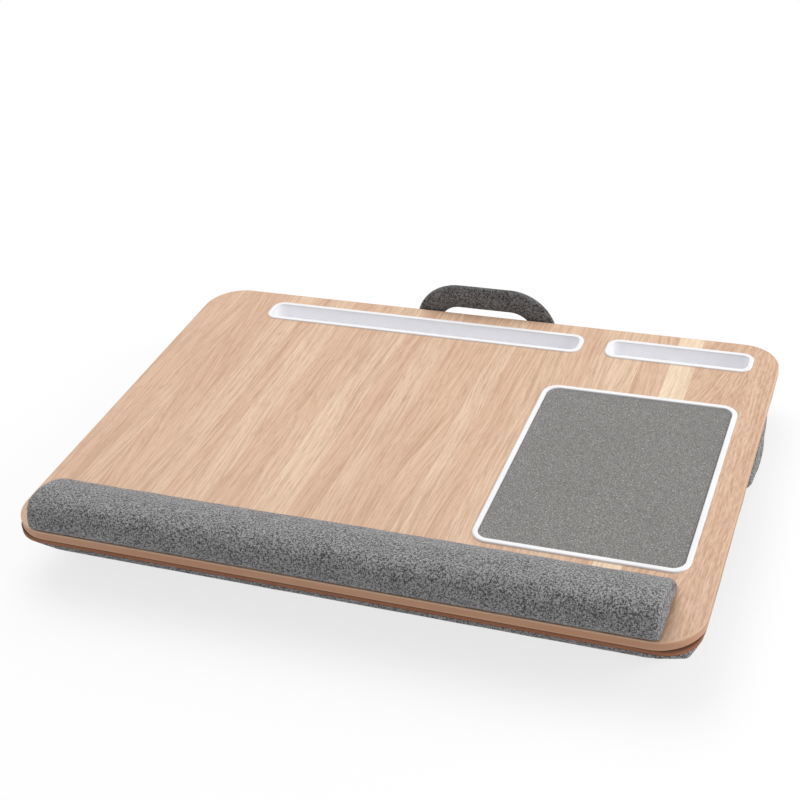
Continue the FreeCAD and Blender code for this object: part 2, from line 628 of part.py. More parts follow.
def panel_screws():
    return Part.makeCompound([countersunk(x, y, 0.0) for x, y in panel_screw_places()])


def wrist_rest_screws():
    z = Z_CORE + WRIST_SCREW_HEAD_HEIGHT
    sizes = (z, WRIST_SCREW_HEAD_RADIUS, WRIST_SCREW_HEAD_HEIGHT, WRIST_SCREW_LENGTH)
    return Part.makeCompound([pan_head(x, y, *sizes) for x, y in wrist_screw_places()])


def handle_screws():
    z = Z_DECK - TAB_THICKNESS - WASHER_THICKNESS
    sizes = (z, HANDLE_SCREW_HEAD_RADIUS, HANDLE_SCREW_HEAD_HEIGHT, HANDLE_SCREW_LENGTH)
    return Part.makeCompound([pan_head(x, y, *sizes) for x, y in handle_screw_places()])


def handle_washers():
    top = Z_DECK - TAB_THICKNESS
    bottom = top - WASHER_THICKNESS
    discs = [upright_cylinder(WASHER_RADIUS, x, y, bottom, top) for x, y in handle_screw_places()]
    return cut_all(Part.makeCompound(discs), shank_holes(handle_screw_places(), bottom, top))


# ---- assembly ------------------------------------------------------------------------------
def build():
    """Every node by name."""
    nodes = {
        "board_core": board_core(),
        "top_laminate": top_laminate(),
        "edge_band": edge_band(),
        "mouse_pad_frame": mouse_pad_frame(),
        "mouse_pad_sheet": mouse_pad_sheet(),
        "mouse_pad_backing": mouse_pad_backing(),
        "wrist_rest_cover": wrist_rest_cover(),
        "wrist_rest_foam": wrist_rest_foam(),
        "wrist_rest_base": wrist_rest_base(),
        "wrist_rest_screws": wrist_rest_screws(),
        "base_panel": base_panel(),
        "panel_screws": panel_screws(),
        "deck_foam": deck_foam(),
        "deck_cover": deck_cover(),
        "handle_cover": handle_cover(),
        "handle_stiffener": stiffener(0.0),
        "handle_tabs": handle_tabs(),
        "handle_screws": handle_screws(),
        "handle_washers": handle_washers(),
    }
    for name, (size, middle) in TRAYS.items():
        nodes[name] = tray(size, middle)
    for name, size in BOLSTERS.items():
        nodes[name + "_cover"] = bolster_cover(size)
        nodes[name + "_fill"] = bolster_fill(size)
    return nodes


def main():
    os.makedirs("parts", exist_ok=True)
    for name, shape in build().items():
        shape.translate(-ORIGIN)
        shape.exportStep(os.path.join("parts", name + ".step"))


if __name__ == "__main__":
    main()
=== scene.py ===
"""Cushioned lap desk, dressed around its packed CAD model.

Metres, in the CAD frame: X to the user's right, Y from the user to the back, Z up from the
floor. The file is laid out as an add-on and is run as a script.
"""
import json
import math

import bmesh
import bpy
from bpy.props import FloatProperty, FloatVectorProperty, IntProperty, PointerProperty
from mathutils import Matrix, Vector, noise


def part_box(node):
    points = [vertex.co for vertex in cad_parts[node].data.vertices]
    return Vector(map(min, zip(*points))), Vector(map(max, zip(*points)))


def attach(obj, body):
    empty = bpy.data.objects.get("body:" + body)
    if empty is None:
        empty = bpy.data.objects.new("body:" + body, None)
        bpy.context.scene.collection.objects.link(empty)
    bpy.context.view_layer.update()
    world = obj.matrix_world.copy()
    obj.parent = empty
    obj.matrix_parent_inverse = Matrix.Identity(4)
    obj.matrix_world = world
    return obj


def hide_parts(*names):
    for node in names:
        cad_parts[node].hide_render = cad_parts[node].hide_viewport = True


bl_info = {
    "name": "Cushioned lap desk",
    "version": (1, 0, 0),
    "blender": (4, 5, 0),
    "location": "View3D > Sidebar > Lap Desk",
    "description": "Builds the finishes, soft goods and studio of a cushioned lap desk",
    "category": "Object",
}

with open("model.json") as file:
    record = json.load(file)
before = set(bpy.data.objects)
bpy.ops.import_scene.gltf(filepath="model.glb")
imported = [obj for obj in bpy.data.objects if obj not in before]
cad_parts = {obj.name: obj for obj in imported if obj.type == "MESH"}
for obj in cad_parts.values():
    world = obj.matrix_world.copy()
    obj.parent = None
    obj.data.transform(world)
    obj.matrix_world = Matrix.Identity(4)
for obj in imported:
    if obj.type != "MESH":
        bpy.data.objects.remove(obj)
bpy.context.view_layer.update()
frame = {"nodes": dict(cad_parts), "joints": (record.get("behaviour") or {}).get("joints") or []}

MM = 0.001
BOARD_LOW, BOARD_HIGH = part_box("edge_band")
HINGE = Vector(frame["joints"][0]["pos_m"])


# ---- sizes and colours that a user would change ----------------------------------------------
def colour(name, description, default):
    """A colour setting, as the shader's own linear values."""
    return FloatVectorProperty(
        name=name, description=description, default=default, subtype="COLOR", size=3, min=0.0, max=1.0
    )


def length(name, description, default):
    """A length setting in metres."""
    return FloatProperty(name=name, description=description, default=default, min=0.0, unit="LENGTH")


def share(name, description, default, top=1.0):
    """A plain factor."""
    return FloatProperty(name=name, description=description, default=default, min=0.0, max=top)


class LapDeskWood(bpy.types.PropertyGroup):
    """Board, edge band and base panel."""

    cream: colour("Cream strip", "Palest strips of the veneer", (0.83, 0.68, 0.49))
    tan: colour("Tan strip", "Usual tone of the veneer", (0.645, 0.435, 0.300))
    rose: colour("Rose strip", "Warmest strips of the veneer", (0.57, 0.355, 0.242))
    grain: colour("Grain", "Dark lines of the grain", (0.37, 0.200, 0.112))
    band: colour("Edge band", "Band round the board's edge", (0.47, 0.222, 0.118))
    core: colour("Core", "Raw fibreboard", (0.45, 0.30, 0.18))
    hardboard: colour("Hardboard", "Base panel", (0.25, 0.082, 0.034))
    gloss: share("Roughness", "Roughness of the veneer", 0.48)


class LapDeskPlastic(bpy.types.PropertyGroup):
    """Trays and the pad's frame."""

    white: colour("White", "Rims of the trays and the pad's frame", (0.82, 0.82, 0.84))
    # Painted light: a paler white that brightens the trays' walls and floors.
    inner: colour("Inner white", "Walls and floors of the trays", (0.90, 0.90, 0.925))
    roughness: share("Roughness", "Roughness of the moulded plastic", 0.34)


class LapDeskPad(bpy.types.PropertyGroup):
    """Mouse pad."""

    leather: colour("Leather", "Raised grains of the leatherette", (0.325, 0.318, 0.309))
    # Painted shade for the creases between the grains, also used for darker random grains and patches.
    crease_shade_and_dark_tone: colour("Crease", "Creases between the grains", (0.12, 0.117, 0.11))
    pebble: length("Grain size", "Width of one grain of the leatherette", 0.0020)
    crown: length("Crown", "How much higher the pad is in the middle", 0.0004)


class LapDeskFabric(bpy.types.PropertyGroup):
    """Wrist rest, cushion and handle."""

    light_yarn: colour("Light yarn", "Pale yarns of the wrist rest", (0.365, 0.36, 0.366))
    dark_yarn: colour("Dark yarn", "Dark yarns of the wrist rest", (0.045, 0.044, 0.047))
    cushion_light: colour("Cushion light yarn", "Pale yarns of the cushion", (0.36, 0.35, 0.355))
    cushion_dark: colour("Cushion dark yarn", "Dark yarns of the cushion", (0.04, 0.038, 0.038))
    handle_light: colour("Handle light yarn", "Pale yarns of the handle", (0.25, 0.25, 0.255))
    handle_dark: colour("Handle dark yarn", "Dark yarns of the handle", (0.03, 0.03, 0.032))
    yarn: length("Yarn", "Distance between yarns", 0.0010)
    relief: length("Relief", "Height of the weave", 0.00030)
    swell: share("Filling pressure", "How hard the filling pushes the cushion out", 3.0, 20.0)
    swell_limit: length("Swell limit", "Furthest that a point of the cushion may move", 0.005)
    voxel: length("Mesh step", "Step of the cushion's mesh", 0.0055)
    frames: IntProperty(name="Steps", description="Simulation steps of the cushion", default=20, min=2)


class LapDeskStage(bpy.types.PropertyGroup):
    """Floor, lamps and camera."""

    floor: colour("Floor", "Floor colour", (0.93, 0.93, 0.93))
    sky: share("Sky", "Strength of the even light from all sides", 0.45, 5.0)
    key: share("Key lamp", "Power of the large lamp above, in watts", 35.0, 1000.0)
    fill: share("Fill lamp", "Power of the lamp on the user's right, in watts", 23.0, 1000.0)
    lens: FloatProperty(name="Lens", description="Focal length in millimetres", default=66.06, min=1.0)


# ---- mesh helpers ----------------------------------------------------------------------------
PATH_STEPS = 16


def smooth_path(points, count):
    """Evenly spaced points along a smooth curve through the given ones."""
    ends = [points[0] * 2 - points[1]] + list(points) + [points[-1] * 2 - points[-2]]
    fine = []
    for i in range(1, len(ends) - 2):
        a, b, c, d = ends[i - 1:i + 3]
        for k in range(PATH_STEPS):
            t = k / PATH_STEPS
            fine.append(0.5 * (
                2 * b + (c - a) * t + (2 * a - 5 * b + 4 * c - d) * t ** 2
                + (3 * b - a - 3 * c + d) * t ** 3
            ))
    fine.append(points[-1])
    return even_points(fine, count)


def run_along(line):
    """Distance of each point from the first one, along the line."""
    run = [0.0]
    for a, b in zip(line, line[1:]):
        run.append(run[-1] + (b - a).length)
    return run


def heading(line, i):
    """From the point before to the point after one of a line's points."""
    return line[min(i + 1, len(line) - 1)] - line[max(i - 1, 0)]


def even_points(line, count):
    """The same line as a number of evenly spaced points."""
    run = run_along(line)
    made = []
    k = 0
    for i in range(count):
        at = run[-1] * i / (count - 1)
        while k < len(line) - 2 and run[k + 1] < at:
            k += 1
        span = max(run[k + 1] - run[k], 1e-9)
        made.append(line[k].lerp(line[k + 1], (at - run[k]) / span))
    return made


def loft(rings, ends=(True, True)):
    """Points and faces of a tube through closed rings of equally many points."""
    points = [p for ring in rings for p in ring]
    n = len(rings[0])
    faces = []
    for r in range(len(rings) - 1):
        for i in range(n):
            j = (i + 1) % n
            faces.append((r * n + i, r * n + j, (r + 1) * n + j, (r + 1) * n + i))
    if ends[0]:
        faces.append(tuple(reversed(range(n))))
    if ends[1]:
        faces.append(tuple((len(rings) - 1) * n + i for i in range(n)))
    return points, faces


def piece(name, points, faces, material, weave=None):
    """A smooth-shaded mesh object with outward normals."""
    mesh = bpy.data.meshes.new(name)
    mesh.from_pydata([tuple(p) for p in points], [], faces)
    made = bmesh.new()
    made.from_mesh(mesh)
    bmesh.ops.recalc_face_normals(made, faces=made.faces)
    made.to_mesh(mesh)
    made.free()
    if weave is not None:
        set_weave(mesh, weave)
    smooth_finish(mesh, material)
    return show(name, mesh)


def only_material(mesh, material):
    """Gives a mesh one material."""
    mesh.materials.clear()
    mesh.materials.append(material)


def smooth_finish(mesh, material):
    """Gives a mesh one material and smooth shading."""
    only_material(mesh, material)
    mesh.polygons.foreach_set("use_smooth", [True] * len(mesh.polygons))


def show(name, data):
    """Puts new data into the scene as an object."""
    made = bpy.data.objects.new(name, data)
    bpy.context.scene.collection.objects.link(made)
    return made


def set_weave(mesh, weave):
    """Stores where each point lies on the flat cloth, in metres."""
    layer = mesh.attributes.new("weave", "FLOAT_VECTOR", "POINT")
    layer.data.foreach_set("vector", [c for p in weave for c in (p[0], p[1], 0.0)])


def rounded_rectangle(width, depth, radius, middle, per_corner, per_side):
    """Points of a rounded rectangle, anticlockwise, as (x, y)."""
    corners = ((1, -1, -90), (1, 1, 0), (-1, 1, 90), (-1, -1, 180))

    def corner_point(k, turned):
        sx, sy, start = corners[k % 4]
        a = math.radians(start + turned)
        x = middle[0] + sx * (width / 2 - radius) + radius * math.cos(a)
        y = middle[1] + sy * (depth / 2 - radius) + radius * math.sin(a)
        return Vector((x, y))

    made = []
    for k in range(4):
        made += [corner_point(k, 90 * i / per_corner) for i in range(per_corner + 1)]
        last = made[-1]
        following = corner_point(k + 1, 0)
        made += [last.lerp(following, i / per_side) for i in range(1, per_side)]
    return made


def unevenness(point, size, amount):
    """A smooth random push of up to about the given amount."""
    return noise.noise(point / size) * amount


def dress(made, body, slot, *nodes):
    """Rides a finished piece on its body and hides the nodes that it replaces. The slot is not used."""
    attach(made, body)
    if nodes:
        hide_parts(*nodes)
    return made


# ---- finishes ---------------------------------------------------------------------------------
class Finish:
    """One material while it is built: nodes are added by kind and wired by socket name."""

    def __init__(self, name):
        self.material = bpy.data.materials.new(name)
        self.material.use_nodes = True
        self.tree = self.material.node_tree
        self.shader = self.tree.nodes["Principled BSDF"]

    def add(self, kind, values=None, **settings):
        """A new node with its settings and the values of its inputs."""
        made = self.tree.nodes.new("ShaderNode" + kind)
        for name, value in settings.items():
            setattr(made, name, value)
        for name, value in (values or {}).items():
            self.put(made.inputs[name], value)
        return made

    def put(self, socket, value):
        """Wires a socket to another one, or sets it."""
        if isinstance(value, bpy.types.NodeSocket):
            self.tree.links.new(value, socket)
        elif socket.type == "RGBA" and len(value) == 3:
            socket.default_value = (*value, 1.0)
        else:
            socket.default_value = value

    def surface(self, **values):
        """Sets or wires the shader and gives the finished material."""
        for name, value in values.items():
            self.put(self.shader.inputs[name.replace("_", " ")], value)
        return self.material

    def place(self):
        """Where a point lies on the object, in metres."""
        return self.add("TexCoord").outputs["Object"]

    def weave(self):
        """Where a point lies on the flat cloth, in metres."""
        return self.add("Attribute", attribute_name="weave").outputs["Vector"]

    def parts(self, vector):
        """The three parts of a vector, as sockets."""
        return self.add("SeparateXYZ", {0: vector}).outputs

    def maths(self, operation, *values):
        return self.add("Math", dict(enumerate(values)), operation=operation).outputs[0]

    def noise(self, vector, scale, detail=2.0, roughness=0.5, distortion=0.0):
        """Noise at one scale, or at one scale for each axis, in cycles per metre."""
        factors = scale if isinstance(scale, tuple) else (scale,) * 3
        scaled = self.add("VectorMath", {0: vector, 1: factors}, operation="MULTIPLY").outputs[0]
        values = {
            "Vector": scaled, "Scale": 1.0, "Detail": detail,
            "Roughness": roughness, "Distortion": distortion,
        }
        return self.add("TexNoise", values).outputs["Fac"]

    def steps(self, factor, stops):
        """A value that changes in steps: each holds from its place to the next one."""
        made = self.add("ValToRGB", {"Fac": factor})
        band = made.color_ramp
        band.interpolation = "CONSTANT"
        while len(band.elements) < len(stops):
            band.elements.new(1.0)
        for element, (at, value) in zip(band.elements, stops):
            element.position = at
            element.color = (value, value, value, 1.0)
        return made.outputs["Color"]

    def mixed(self, factor, a, b):
        """From one colour to the other as the factor goes from 0 to 1."""
        made = self.add("Mix", data_type="RGBA")
        self.put(made.inputs[0], factor)
        self.put(made.inputs[6], a)
        self.put(made.inputs[7], b)
        return made.outputs[2]

    def spread(self, value, low, high, to_low=0.0, to_high=1.0):
        """Maps one range to another and holds the result at both ends."""
        values = {"Value": value, 1: low, 2: high, 3: to_low, 4: to_high}
        return self.add("MapRange", values, clamp=True).outputs[0]

    def bump(self, height, distance, strength):
        values = {"Height": height, "Distance": distance, "Strength": strength}
        return self.add("Bump", values).outputs["Normal"]


# Strips of the veneer: right-hand edge in mm from the board's middle, tone from cream (0)
# over tan (0.5) to rose (1), and lean of the grain.
STRIPS = (
    (-262, 0.62, 0.02), (-240, 0.45, 0.05), (-222, 0.74, -0.10), (-201, 0.60, -0.04),
    (-177, 0.40, 0.02), (-160, 0.55, 0.05), (-134, 0.33, -0.02), (-111, 0.62, 0.04),
    (-92, 0.48, -0.05), (-64, 0.28, 0.00), (-41, 0.58, 0.03), (-20, 0.42, -0.03),
    (4, 0.66, 0.00), (27, 0.50, 0.06), (46, 0.36, -0.02), (72, 0.60, 0.03),
    (96, 0.44, -0.02), (121, 0.66, -0.04), (139.5, 0.42, 0.00), (164, 0.34, 0.03),
    (190.5, 0.50, -0.08), (213.4, 0.06, 0.00), (243, 0.55, 0.24), (262, 0.60, 0.14),
    (285, 0.64, 0.01),
)
# The grain wanders sideways by up to half of the first value, and the flecks of the right margin
# come in between the other two, which are places to the right of the board's middle.
GRAIN_WAVER = 16 * MM
FLECKED_FROM = 150 * MM
FLECKED_FULLY = 260 * MM


def veneer(wood):
    """Strips of pale oak side by side, each with its own tone and lean of grain."""
    made = Finish("oak_strip_veneer")
    place = made.place()
    parts = made.parts(place)
    width = BOARD_HIGH.x - BOARD_LOW.x
    across = made.maths("DIVIDE", made.maths("SUBTRACT", parts[0], BOARD_LOW.x), width)
    starts = [0.0] + [(edge * MM - BOARD_LOW.x) / width for edge, _, _ in STRIPS[:-1]]
    tone = made.steps(across, [(at, s[1]) for at, s in zip(starts, STRIPS)])
    lean = made.steps(across, [(at, 0.5 + s[2]) for at, s in zip(starts, STRIPS)])
    lean = made.maths("SUBTRACT", lean, 0.5)
    waver = made.noise(place, (9.0, 5.0, 1.0), 1.0)
    waver = made.maths("MULTIPLY", made.maths("SUBTRACT", waver, 0.5), GRAIN_WAVER)
    skewed = made.maths("SUBTRACT", parts[0], made.maths("MULTIPLY", parts[1], lean))
    skewed = made.maths("ADD", skewed, waver)
    depth = made.maths("MULTIPLY", tone, 37.0)
    grain_place = made.add("CombineXYZ", {0: skewed, 1: parts[1], 2: depth}).outputs[0]
    fibres = made.noise(grain_place, (560.0, 17.0, 1.0), 5.0, 0.68)
    figure = made.noise(grain_place, (150.0, 4.5, 1.0), 3.0, 0.55, 0.6)
    pores = made.noise(grain_place, (900.0, 75.0, 1.0))
    flecks = made.noise(grain_place, (640.0, 120.0, 1.0), 2.0, 0.55)
    blush = made.noise(grain_place, (34.0, 3.0, 1.0))
    marked = made.spread(parts[0], FLECKED_FROM, FLECKED_FULLY)
    strength = made.spread(tone, 0.0, 0.30, 0.45, 1.0)

    low = made.mixed(made.spread(tone, 0.0, 0.5), wood.cream, wood.tan)
    base = made.mixed(made.spread(tone, 0.5, 1.0), low, wood.rose)
    blushed = made.maths("MULTIPLY", made.spread(blush, 0.35, 0.70, 0.0, 0.45), strength)
    base = made.mixed(blushed, base, wood.rose)
    lines = (
        made.spread(figure, 0.50, 0.68, 0.0, 0.36),
        made.spread(fibres, 0.46, 0.66, 0.0, 0.50),
        made.spread(pores, 0.56, 0.66, 0.0, 0.38),
        made.maths("MULTIPLY", made.spread(flecks, 0.50, 0.66, 0.0, 0.40), marked),
    )
    for line in lines:
        base = made.mixed(made.maths("MULTIPLY", line, strength), base, wood.grain)
    base = made.mixed(made.spread(fibres, 0.50, 0.26, 0.0, 0.22), base, wood.cream)
    pale = made.maths("MULTIPLY", made.spread(flecks, 0.48, 0.32, 0.0, 0.20), marked)
    base = made.mixed(pale, base, wood.cream)
    height = made.maths("SUBTRACT", fibres, made.maths("MULTIPLY", pores, 0.6))
    rough = made.spread(fibres, 0.3, 0.7, wood.gloss - 0.05, wood.gloss + 0.08)
    return made.surface(
        Base_Color=base, Roughness=rough, Normal=made.bump(height, 0.06 * MM, 0.6),
    )


# Painted highlights along the edge band's top and lower rims: from where they start to where
# they are full, below the top and above the foot.
LIT_RIM = (1.7 * MM, 0.7 * MM)
LOWER_HIGHLIGHT_RIM = (2.0 * MM, 0.6 * MM)
# Painted shade under the board's overhang darkens the hardboard from this far below its top, and fully this
# much higher.
PAINTED_SHADE_DEPTH = 2.6 * MM
PAINTED_SHADE_FADE = 1.6 * MM
# Painted light turns the trays to a paler white between these heights over the board's top.
PAINTED_LIGHT_FROM = 0.6 * MM
PAINTED_LIGHT_FULLY = -1.0 * MM


def edge_foil(wood):
    """Thin wood-toned band with grain along its length."""
    made = Finish("wood_tone_edge_band")
    place = made.place()
    streak = made.noise(place, (26.0, 26.0, 900.0), 4.0, 0.6)
    patch = made.noise(place, (7.0, 7.0, 60.0))
    tone = made.mixed(made.spread(streak, 0.42, 0.70, 0.0, 0.45), wood.band, wood.grain)
    tone = made.mixed(made.spread(patch, 0.4, 0.75, 0.0, 0.22), tone, wood.tan)
    height = made.parts(place)[2]
    # Painted highlight along the top rim.
    lit = made.spread(height, BOARD_HIGH.z - LIT_RIM[0], BOARD_HIGH.z - LIT_RIM[1], 0.0, 0.35)
    tone = made.mixed(lit, tone, wood.cream)
    # Painted highlight along the lower rim.
    lower_highlight = made.spread(height, BOARD_LOW.z + LOWER_HIGHLIGHT_RIM[0], BOARD_LOW.z + LOWER_HIGHLIGHT_RIM[1], 0.0, 0.16)
    tone = made.mixed(lower_highlight, tone, wood.cream)
    return made.surface(
        Base_Color=tone, Roughness=made.spread(streak, 0.3, 0.7, 0.36, 0.46),
        Normal=made.bump(streak, 0.03 * MM, 0.5),
    )


def pressed_board(name, base, fleck, amount, grain, painted_shade_from=None):
    """Pressed fibre: matt, with short flecks, and darkened by painted shade above a height if given."""
    made = Finish(name)
    place = made.place()
    chips = made.noise(place, (420.0, 420.0, 700.0), 4.0, 0.7)
    clouds = made.noise(place, (30.0, 30.0, 60.0))
    tone = made.mixed(made.spread(chips, 0.42, 0.68, 0.0, amount), base, fleck)
    tone = made.mixed(made.spread(clouds, 0.35, 0.7, 0.0, 0.25), tone, fleck)
    if painted_shade_from is not None:
        # Painted shade: the hardboard's top, under the board's overhang, is darkened.
        height = made.parts(place)[2]
        painted_shade = made.spread(height, painted_shade_from, painted_shade_from + PAINTED_SHADE_FADE, 0.0, 0.75)
        tone = made.mixed(painted_shade, tone, tuple(c * 0.3 for c in base))
    return made.surface(
        Base_Color=tone, Roughness=made.spread(chips, 0.3, 0.7, 0.72, 0.88),
        Normal=made.bump(chips, grain, 0.7),
    )


def moulded_plastic(name, base, roughness, inner=None):
    """Moulded plastic with a fine spark-eroded texture, and painted light that makes it paler inside the
    board if told so.
    """
    made = Finish(name)
    place = made.place()
    grain = made.noise(place, 1400.0, 2.0, 0.6)
    flow = made.noise(place, 18.0)
    dull = tuple(c * 0.94 for c in base)
    tone = made.mixed(made.spread(flow, 0.35, 0.75), base, dull)
    # Painted light: walls and floors below the rim are made paler than the rims.
    if inner is not None:
        height = made.parts(place)[2]
        painted_light = made.spread(height, BOARD_HIGH.z + PAINTED_LIGHT_FROM, BOARD_HIGH.z + PAINTED_LIGHT_FULLY)
        tone = made.mixed(painted_light, tone, inner)
    return made.surface(
        Base_Color=tone, Roughness=made.spread(grain, 0.3, 0.7, roughness - 0.05, roughness + 0.07),
        Normal=made.bump(grain, 0.02 * MM, 0.35),
    )


PEBBLE_SHIFT = 1.2 * MM


def leatherette(pad):
    """Grey leatherette: rounded pebbles with fine creases between them."""
    made = Finish("grey_leatherette")
    place = made.place()
    bend = made.noise(place, 300.0)
    shift = made.add("VectorMath", {0: bend, "Scale": PEBBLE_SHIFT}, operation="SCALE").outputs[0]
    warped = made.add("VectorMath", {0: place, 1: shift}, operation="ADD").outputs[0]
    values = {"Vector": warped, "Scale": 1.0 / pad.pebble}
    cells = made.add("TexVoronoi", values, feature="DISTANCE_TO_EDGE").outputs[0]
    grains = made.add("TexVoronoi", values, feature="F1").outputs
    tint = made.add("SeparateColor", {0: grains["Color"]}).outputs[0]
    crown = made.spread(cells, 0.0, 0.30)
    clouds = made.noise(place, 28.0, 3.0, 0.55)
    fine = made.noise(place, 2200.0, 2.0, 0.6)
    # Painted shade: darker towards the creases between the grains; then random darker grains and patches.
    base = made.mixed(crown, pad.crease_shade_and_dark_tone, pad.leather)
    base = made.mixed(made.spread(tint, 0.0, 1.0, 0.0, 0.38), base, pad.crease_shade_and_dark_tone)
    base = made.mixed(made.spread(clouds, 0.35, 0.7, 0.0, 0.16), base, pad.crease_shade_and_dark_tone)
    height = made.maths("ADD", crown, made.maths("MULTIPLY", fine, 0.15))
    return made.surface(
        Base_Color=base, Roughness=made.spread(crown, 0.0, 1.0, 0.68, 0.50),
        Normal=made.bump(height, 0.30 * MM, 0.9),
    )


# How far from the middle tone a yarn is fully pale or fully dark.
CONTRAST = 0.060
# Noise steps per yarn: along a yarn, along it where no flat cloth is stored, and across it.
YARN_LENGTHWISE = 0.34
YARN_UNLAID = 0.6
YARN_ACROSS = 1.15
NUBS = 0.62


def melange(name, light, dark, yarn, relief, flat_cloth=True):
    """Plain weave of slub yarns that run from pale to dark along their length.

    The yarns follow the flat cloth, or the object's own axes where no flat cloth is stored.
    """
    made = Finish(name)
    place = made.place()
    cloth = made.weave() if flat_cloth else place
    parts = made.parts(cloth)
    pitch = math.pi / yarn
    over = made.maths("MULTIPLY", parts[0], pitch)
    along = made.maths("MULTIPLY", made.maths("ADD", parts[1], parts[2]), pitch)
    crossing = made.maths("MULTIPLY", made.maths("SINE", over), made.maths("SINE", along))
    upper = made.spread(crossing, -0.25, 0.25)
    step = 1.0 / yarn
    slow = step * (YARN_LENGTHWISE if flat_cloth else YARN_UNLAID)
    fast = step * YARN_ACROSS
    weft = made.noise(cloth, (slow, fast, fast), 2.0, 0.65)
    warp = made.noise(cloth, (fast, slow, slow), 2.0, 0.65)
    nubs = made.noise(place, step * NUBS, 2.0, 0.65)
    patches = made.noise(place, 70.0, 3.0, 0.6)
    tone = made.mixed(upper, warp, weft)
    tone = made.maths("ADD", made.maths("MULTIPLY", tone, 0.6), made.maths("MULTIPLY", nubs, 0.4))
    tone = made.maths("ADD", tone, made.maths("MULTIPLY", made.maths("SUBTRACT", patches, 0.5), 0.08))
    colours = made.mixed(made.spread(tone, 0.5 - CONTRAST, 0.5 + CONTRAST), dark, light)
    fuzz = made.noise(place, 2600.0, 2.0, 0.6)
    height = made.maths("ADD", made.maths("MULTIPLY", crossing, 0.5), made.maths("MULTIPLY", tone, 2.4))
    height = made.maths("ADD", height, made.maths("MULTIPLY", fuzz, 0.4))
    return made.surface(
        Base_Color=colours, Roughness=made.spread(fuzz, 0.3, 0.7, 0.86, 0.98),
        Sheen_Weight=0.2, Sheen_Roughness=0.5, Specular_IOR_Level=0.2,
        Normal=made.bump(height, relief, 0.9),
    )


WEBBING_RIB = 1.6 * MM
WEBBING_PICK = 1.1 * MM


def webbing_weave(name, light, dark):
    """Ribbed webbing."""
    made = Finish(name)
    cloth = made.weave()
    parts = made.parts(cloth)
    ribs = made.maths("SINE", made.maths("MULTIPLY", parts[0], 2 * math.pi / WEBBING_RIB))
    picks = made.maths("SINE", made.maths("MULTIPLY", parts[1], 2 * math.pi / WEBBING_PICK))
    ridge = made.spread(made.maths("MULTIPLY", ribs, picks), -1.0, 1.0)
    specks = made.noise(cloth, (1500.0, 1500.0, 1.0), 2.0, 0.6)
    tone = made.mixed(made.maths("MULTIPLY", ridge, specks), dark, light)
    return made.surface(
        Base_Color=tone, Roughness=made.spread(specks, 0.3, 0.7, 0.7, 0.85),
        Normal=made.bump(ridge, 0.2 * MM, 0.8),
    )


def open_foam(name, base, cell):
    """Open-cell foam."""
    made = Finish(name)
    place = made.place()
    cells = made.add("TexVoronoi", {"Vector": place, "Scale": 1.0 / cell}).outputs["Distance"]
    shade = tuple(c * 0.62 for c in base)
    tone = made.mixed(made.spread(cells, 0.1, 0.6), base, shade)
    return made.surface(
        Base_Color=tone, Roughness=made.spread(cells, 0.0, 0.6, 0.8, 0.95),
        Normal=made.bump(cells, cell * 0.5, 0.6),
    )


STEEL = ((0.62, 0.63, 0.66), (0.50, 0.50, 0.50))


def plated_steel():
    """Zinc-plated steel with faint turning marks."""
    made = Finish("zinc_plated_steel")
    place = made.place()
    marks = made.noise(place, (500.0, 500.0, 3000.0), 3.0, 0.6)
    cloud = made.noise(place, 220.0)
    tone = made.mixed(made.spread(cloud, 0.35, 0.7), *STEEL)
    return made.surface(
        Base_Color=tone, Metallic=1.0, Roughness=made.spread(marks, 0.3, 0.7, 0.24, 0.42),
        Normal=made.bump(marks, 0.02 * MM, 0.4),
    )


def paint(node, material):
    """Gives a CAD node another finish."""
    only_material(frame["nodes"][node].data, material)


# ---- wrist rest --------------------------------------------------------------------------------
# Section of the roll as shares of its depth and height, from the front foot to the back foot.
ROLL_SECTION = (
    (0.030, 0.0), (0.004, 0.10), (0.0, 0.36), (0.05, 0.78), (0.20, 0.98),
    (0.50, 0.91), (0.78, 0.61), (0.95, 0.25), (1.0, 0.0),
)
# Points round the section and along its flat underside, and steps along the straight roll.
ROLL_AROUND = 72
ROLL_UNDERSIDE = 12
ROLL_STEPS = 200
# Rounding of the ends and bulge of their caps. The foot is drawn in by a share of the rounding
# only, which grows with the height at this rate until it is whole.
ROLL_END = 5.5 * MM
ROLL_CAP = 2.2 * MM
ROLL_FOOT = 0.3
ROLL_FOOT_RISE = 1.6
# How far the cloth reaches past its solid at the front and the left, and stands off the board.
ROLL_SPREAD = 1.2 * MM
ROLL_LIFT = 0.2 * MM
# Rings of an end, in degrees from its face (0) to the straight roll (90), and of its cap, as
# shares of the way to its middle. The cap is full before its middle, by the last factor.
END_ANGLES = (0, 8, 14, 19, 24, 29, 34, 42, 50, 58, 66, 74, 82)
CAP_REACHES = (0.12, 0.3, 0.5, 0.7, 0.88)
CAP_FULLNESS = 1.2
# Seam round each end: its angle, half width in degrees and depth.
SEAM_ANGLE = 24.0
SEAM_SPAN = 5.0
SEAM_TUCK = 0.25 * MM


def roll_section(low, high, inset):
    """Points of the section, drawn in by inset, as (y, z), with its flat underside."""
    line = [Vector((low.y + a * (high.y - low.y), low.z + b * (high.z - low.z))) for a, b in ROLL_SECTION]
    line = smooth_path(line, ROLL_AROUND)
    made = []
    for i, p in enumerate(line):
        run = heading(line, i)
        inward = Vector((run.y, -run.x)).normalized()
        share_up = (p.y - low.z) / (high.z - low.z)
        q = p + inward * inset * (ROLL_FOOT + (1 - ROLL_FOOT) * min(1.0, share_up * ROLL_FOOT_RISE))
        made.append(Vector((q.x, max(q.y, low.z))))
    return made + [made[-1].lerp(made[0], k / ROLL_UNDERSIDE) for k in range(1, ROLL_UNDERSIDE)]


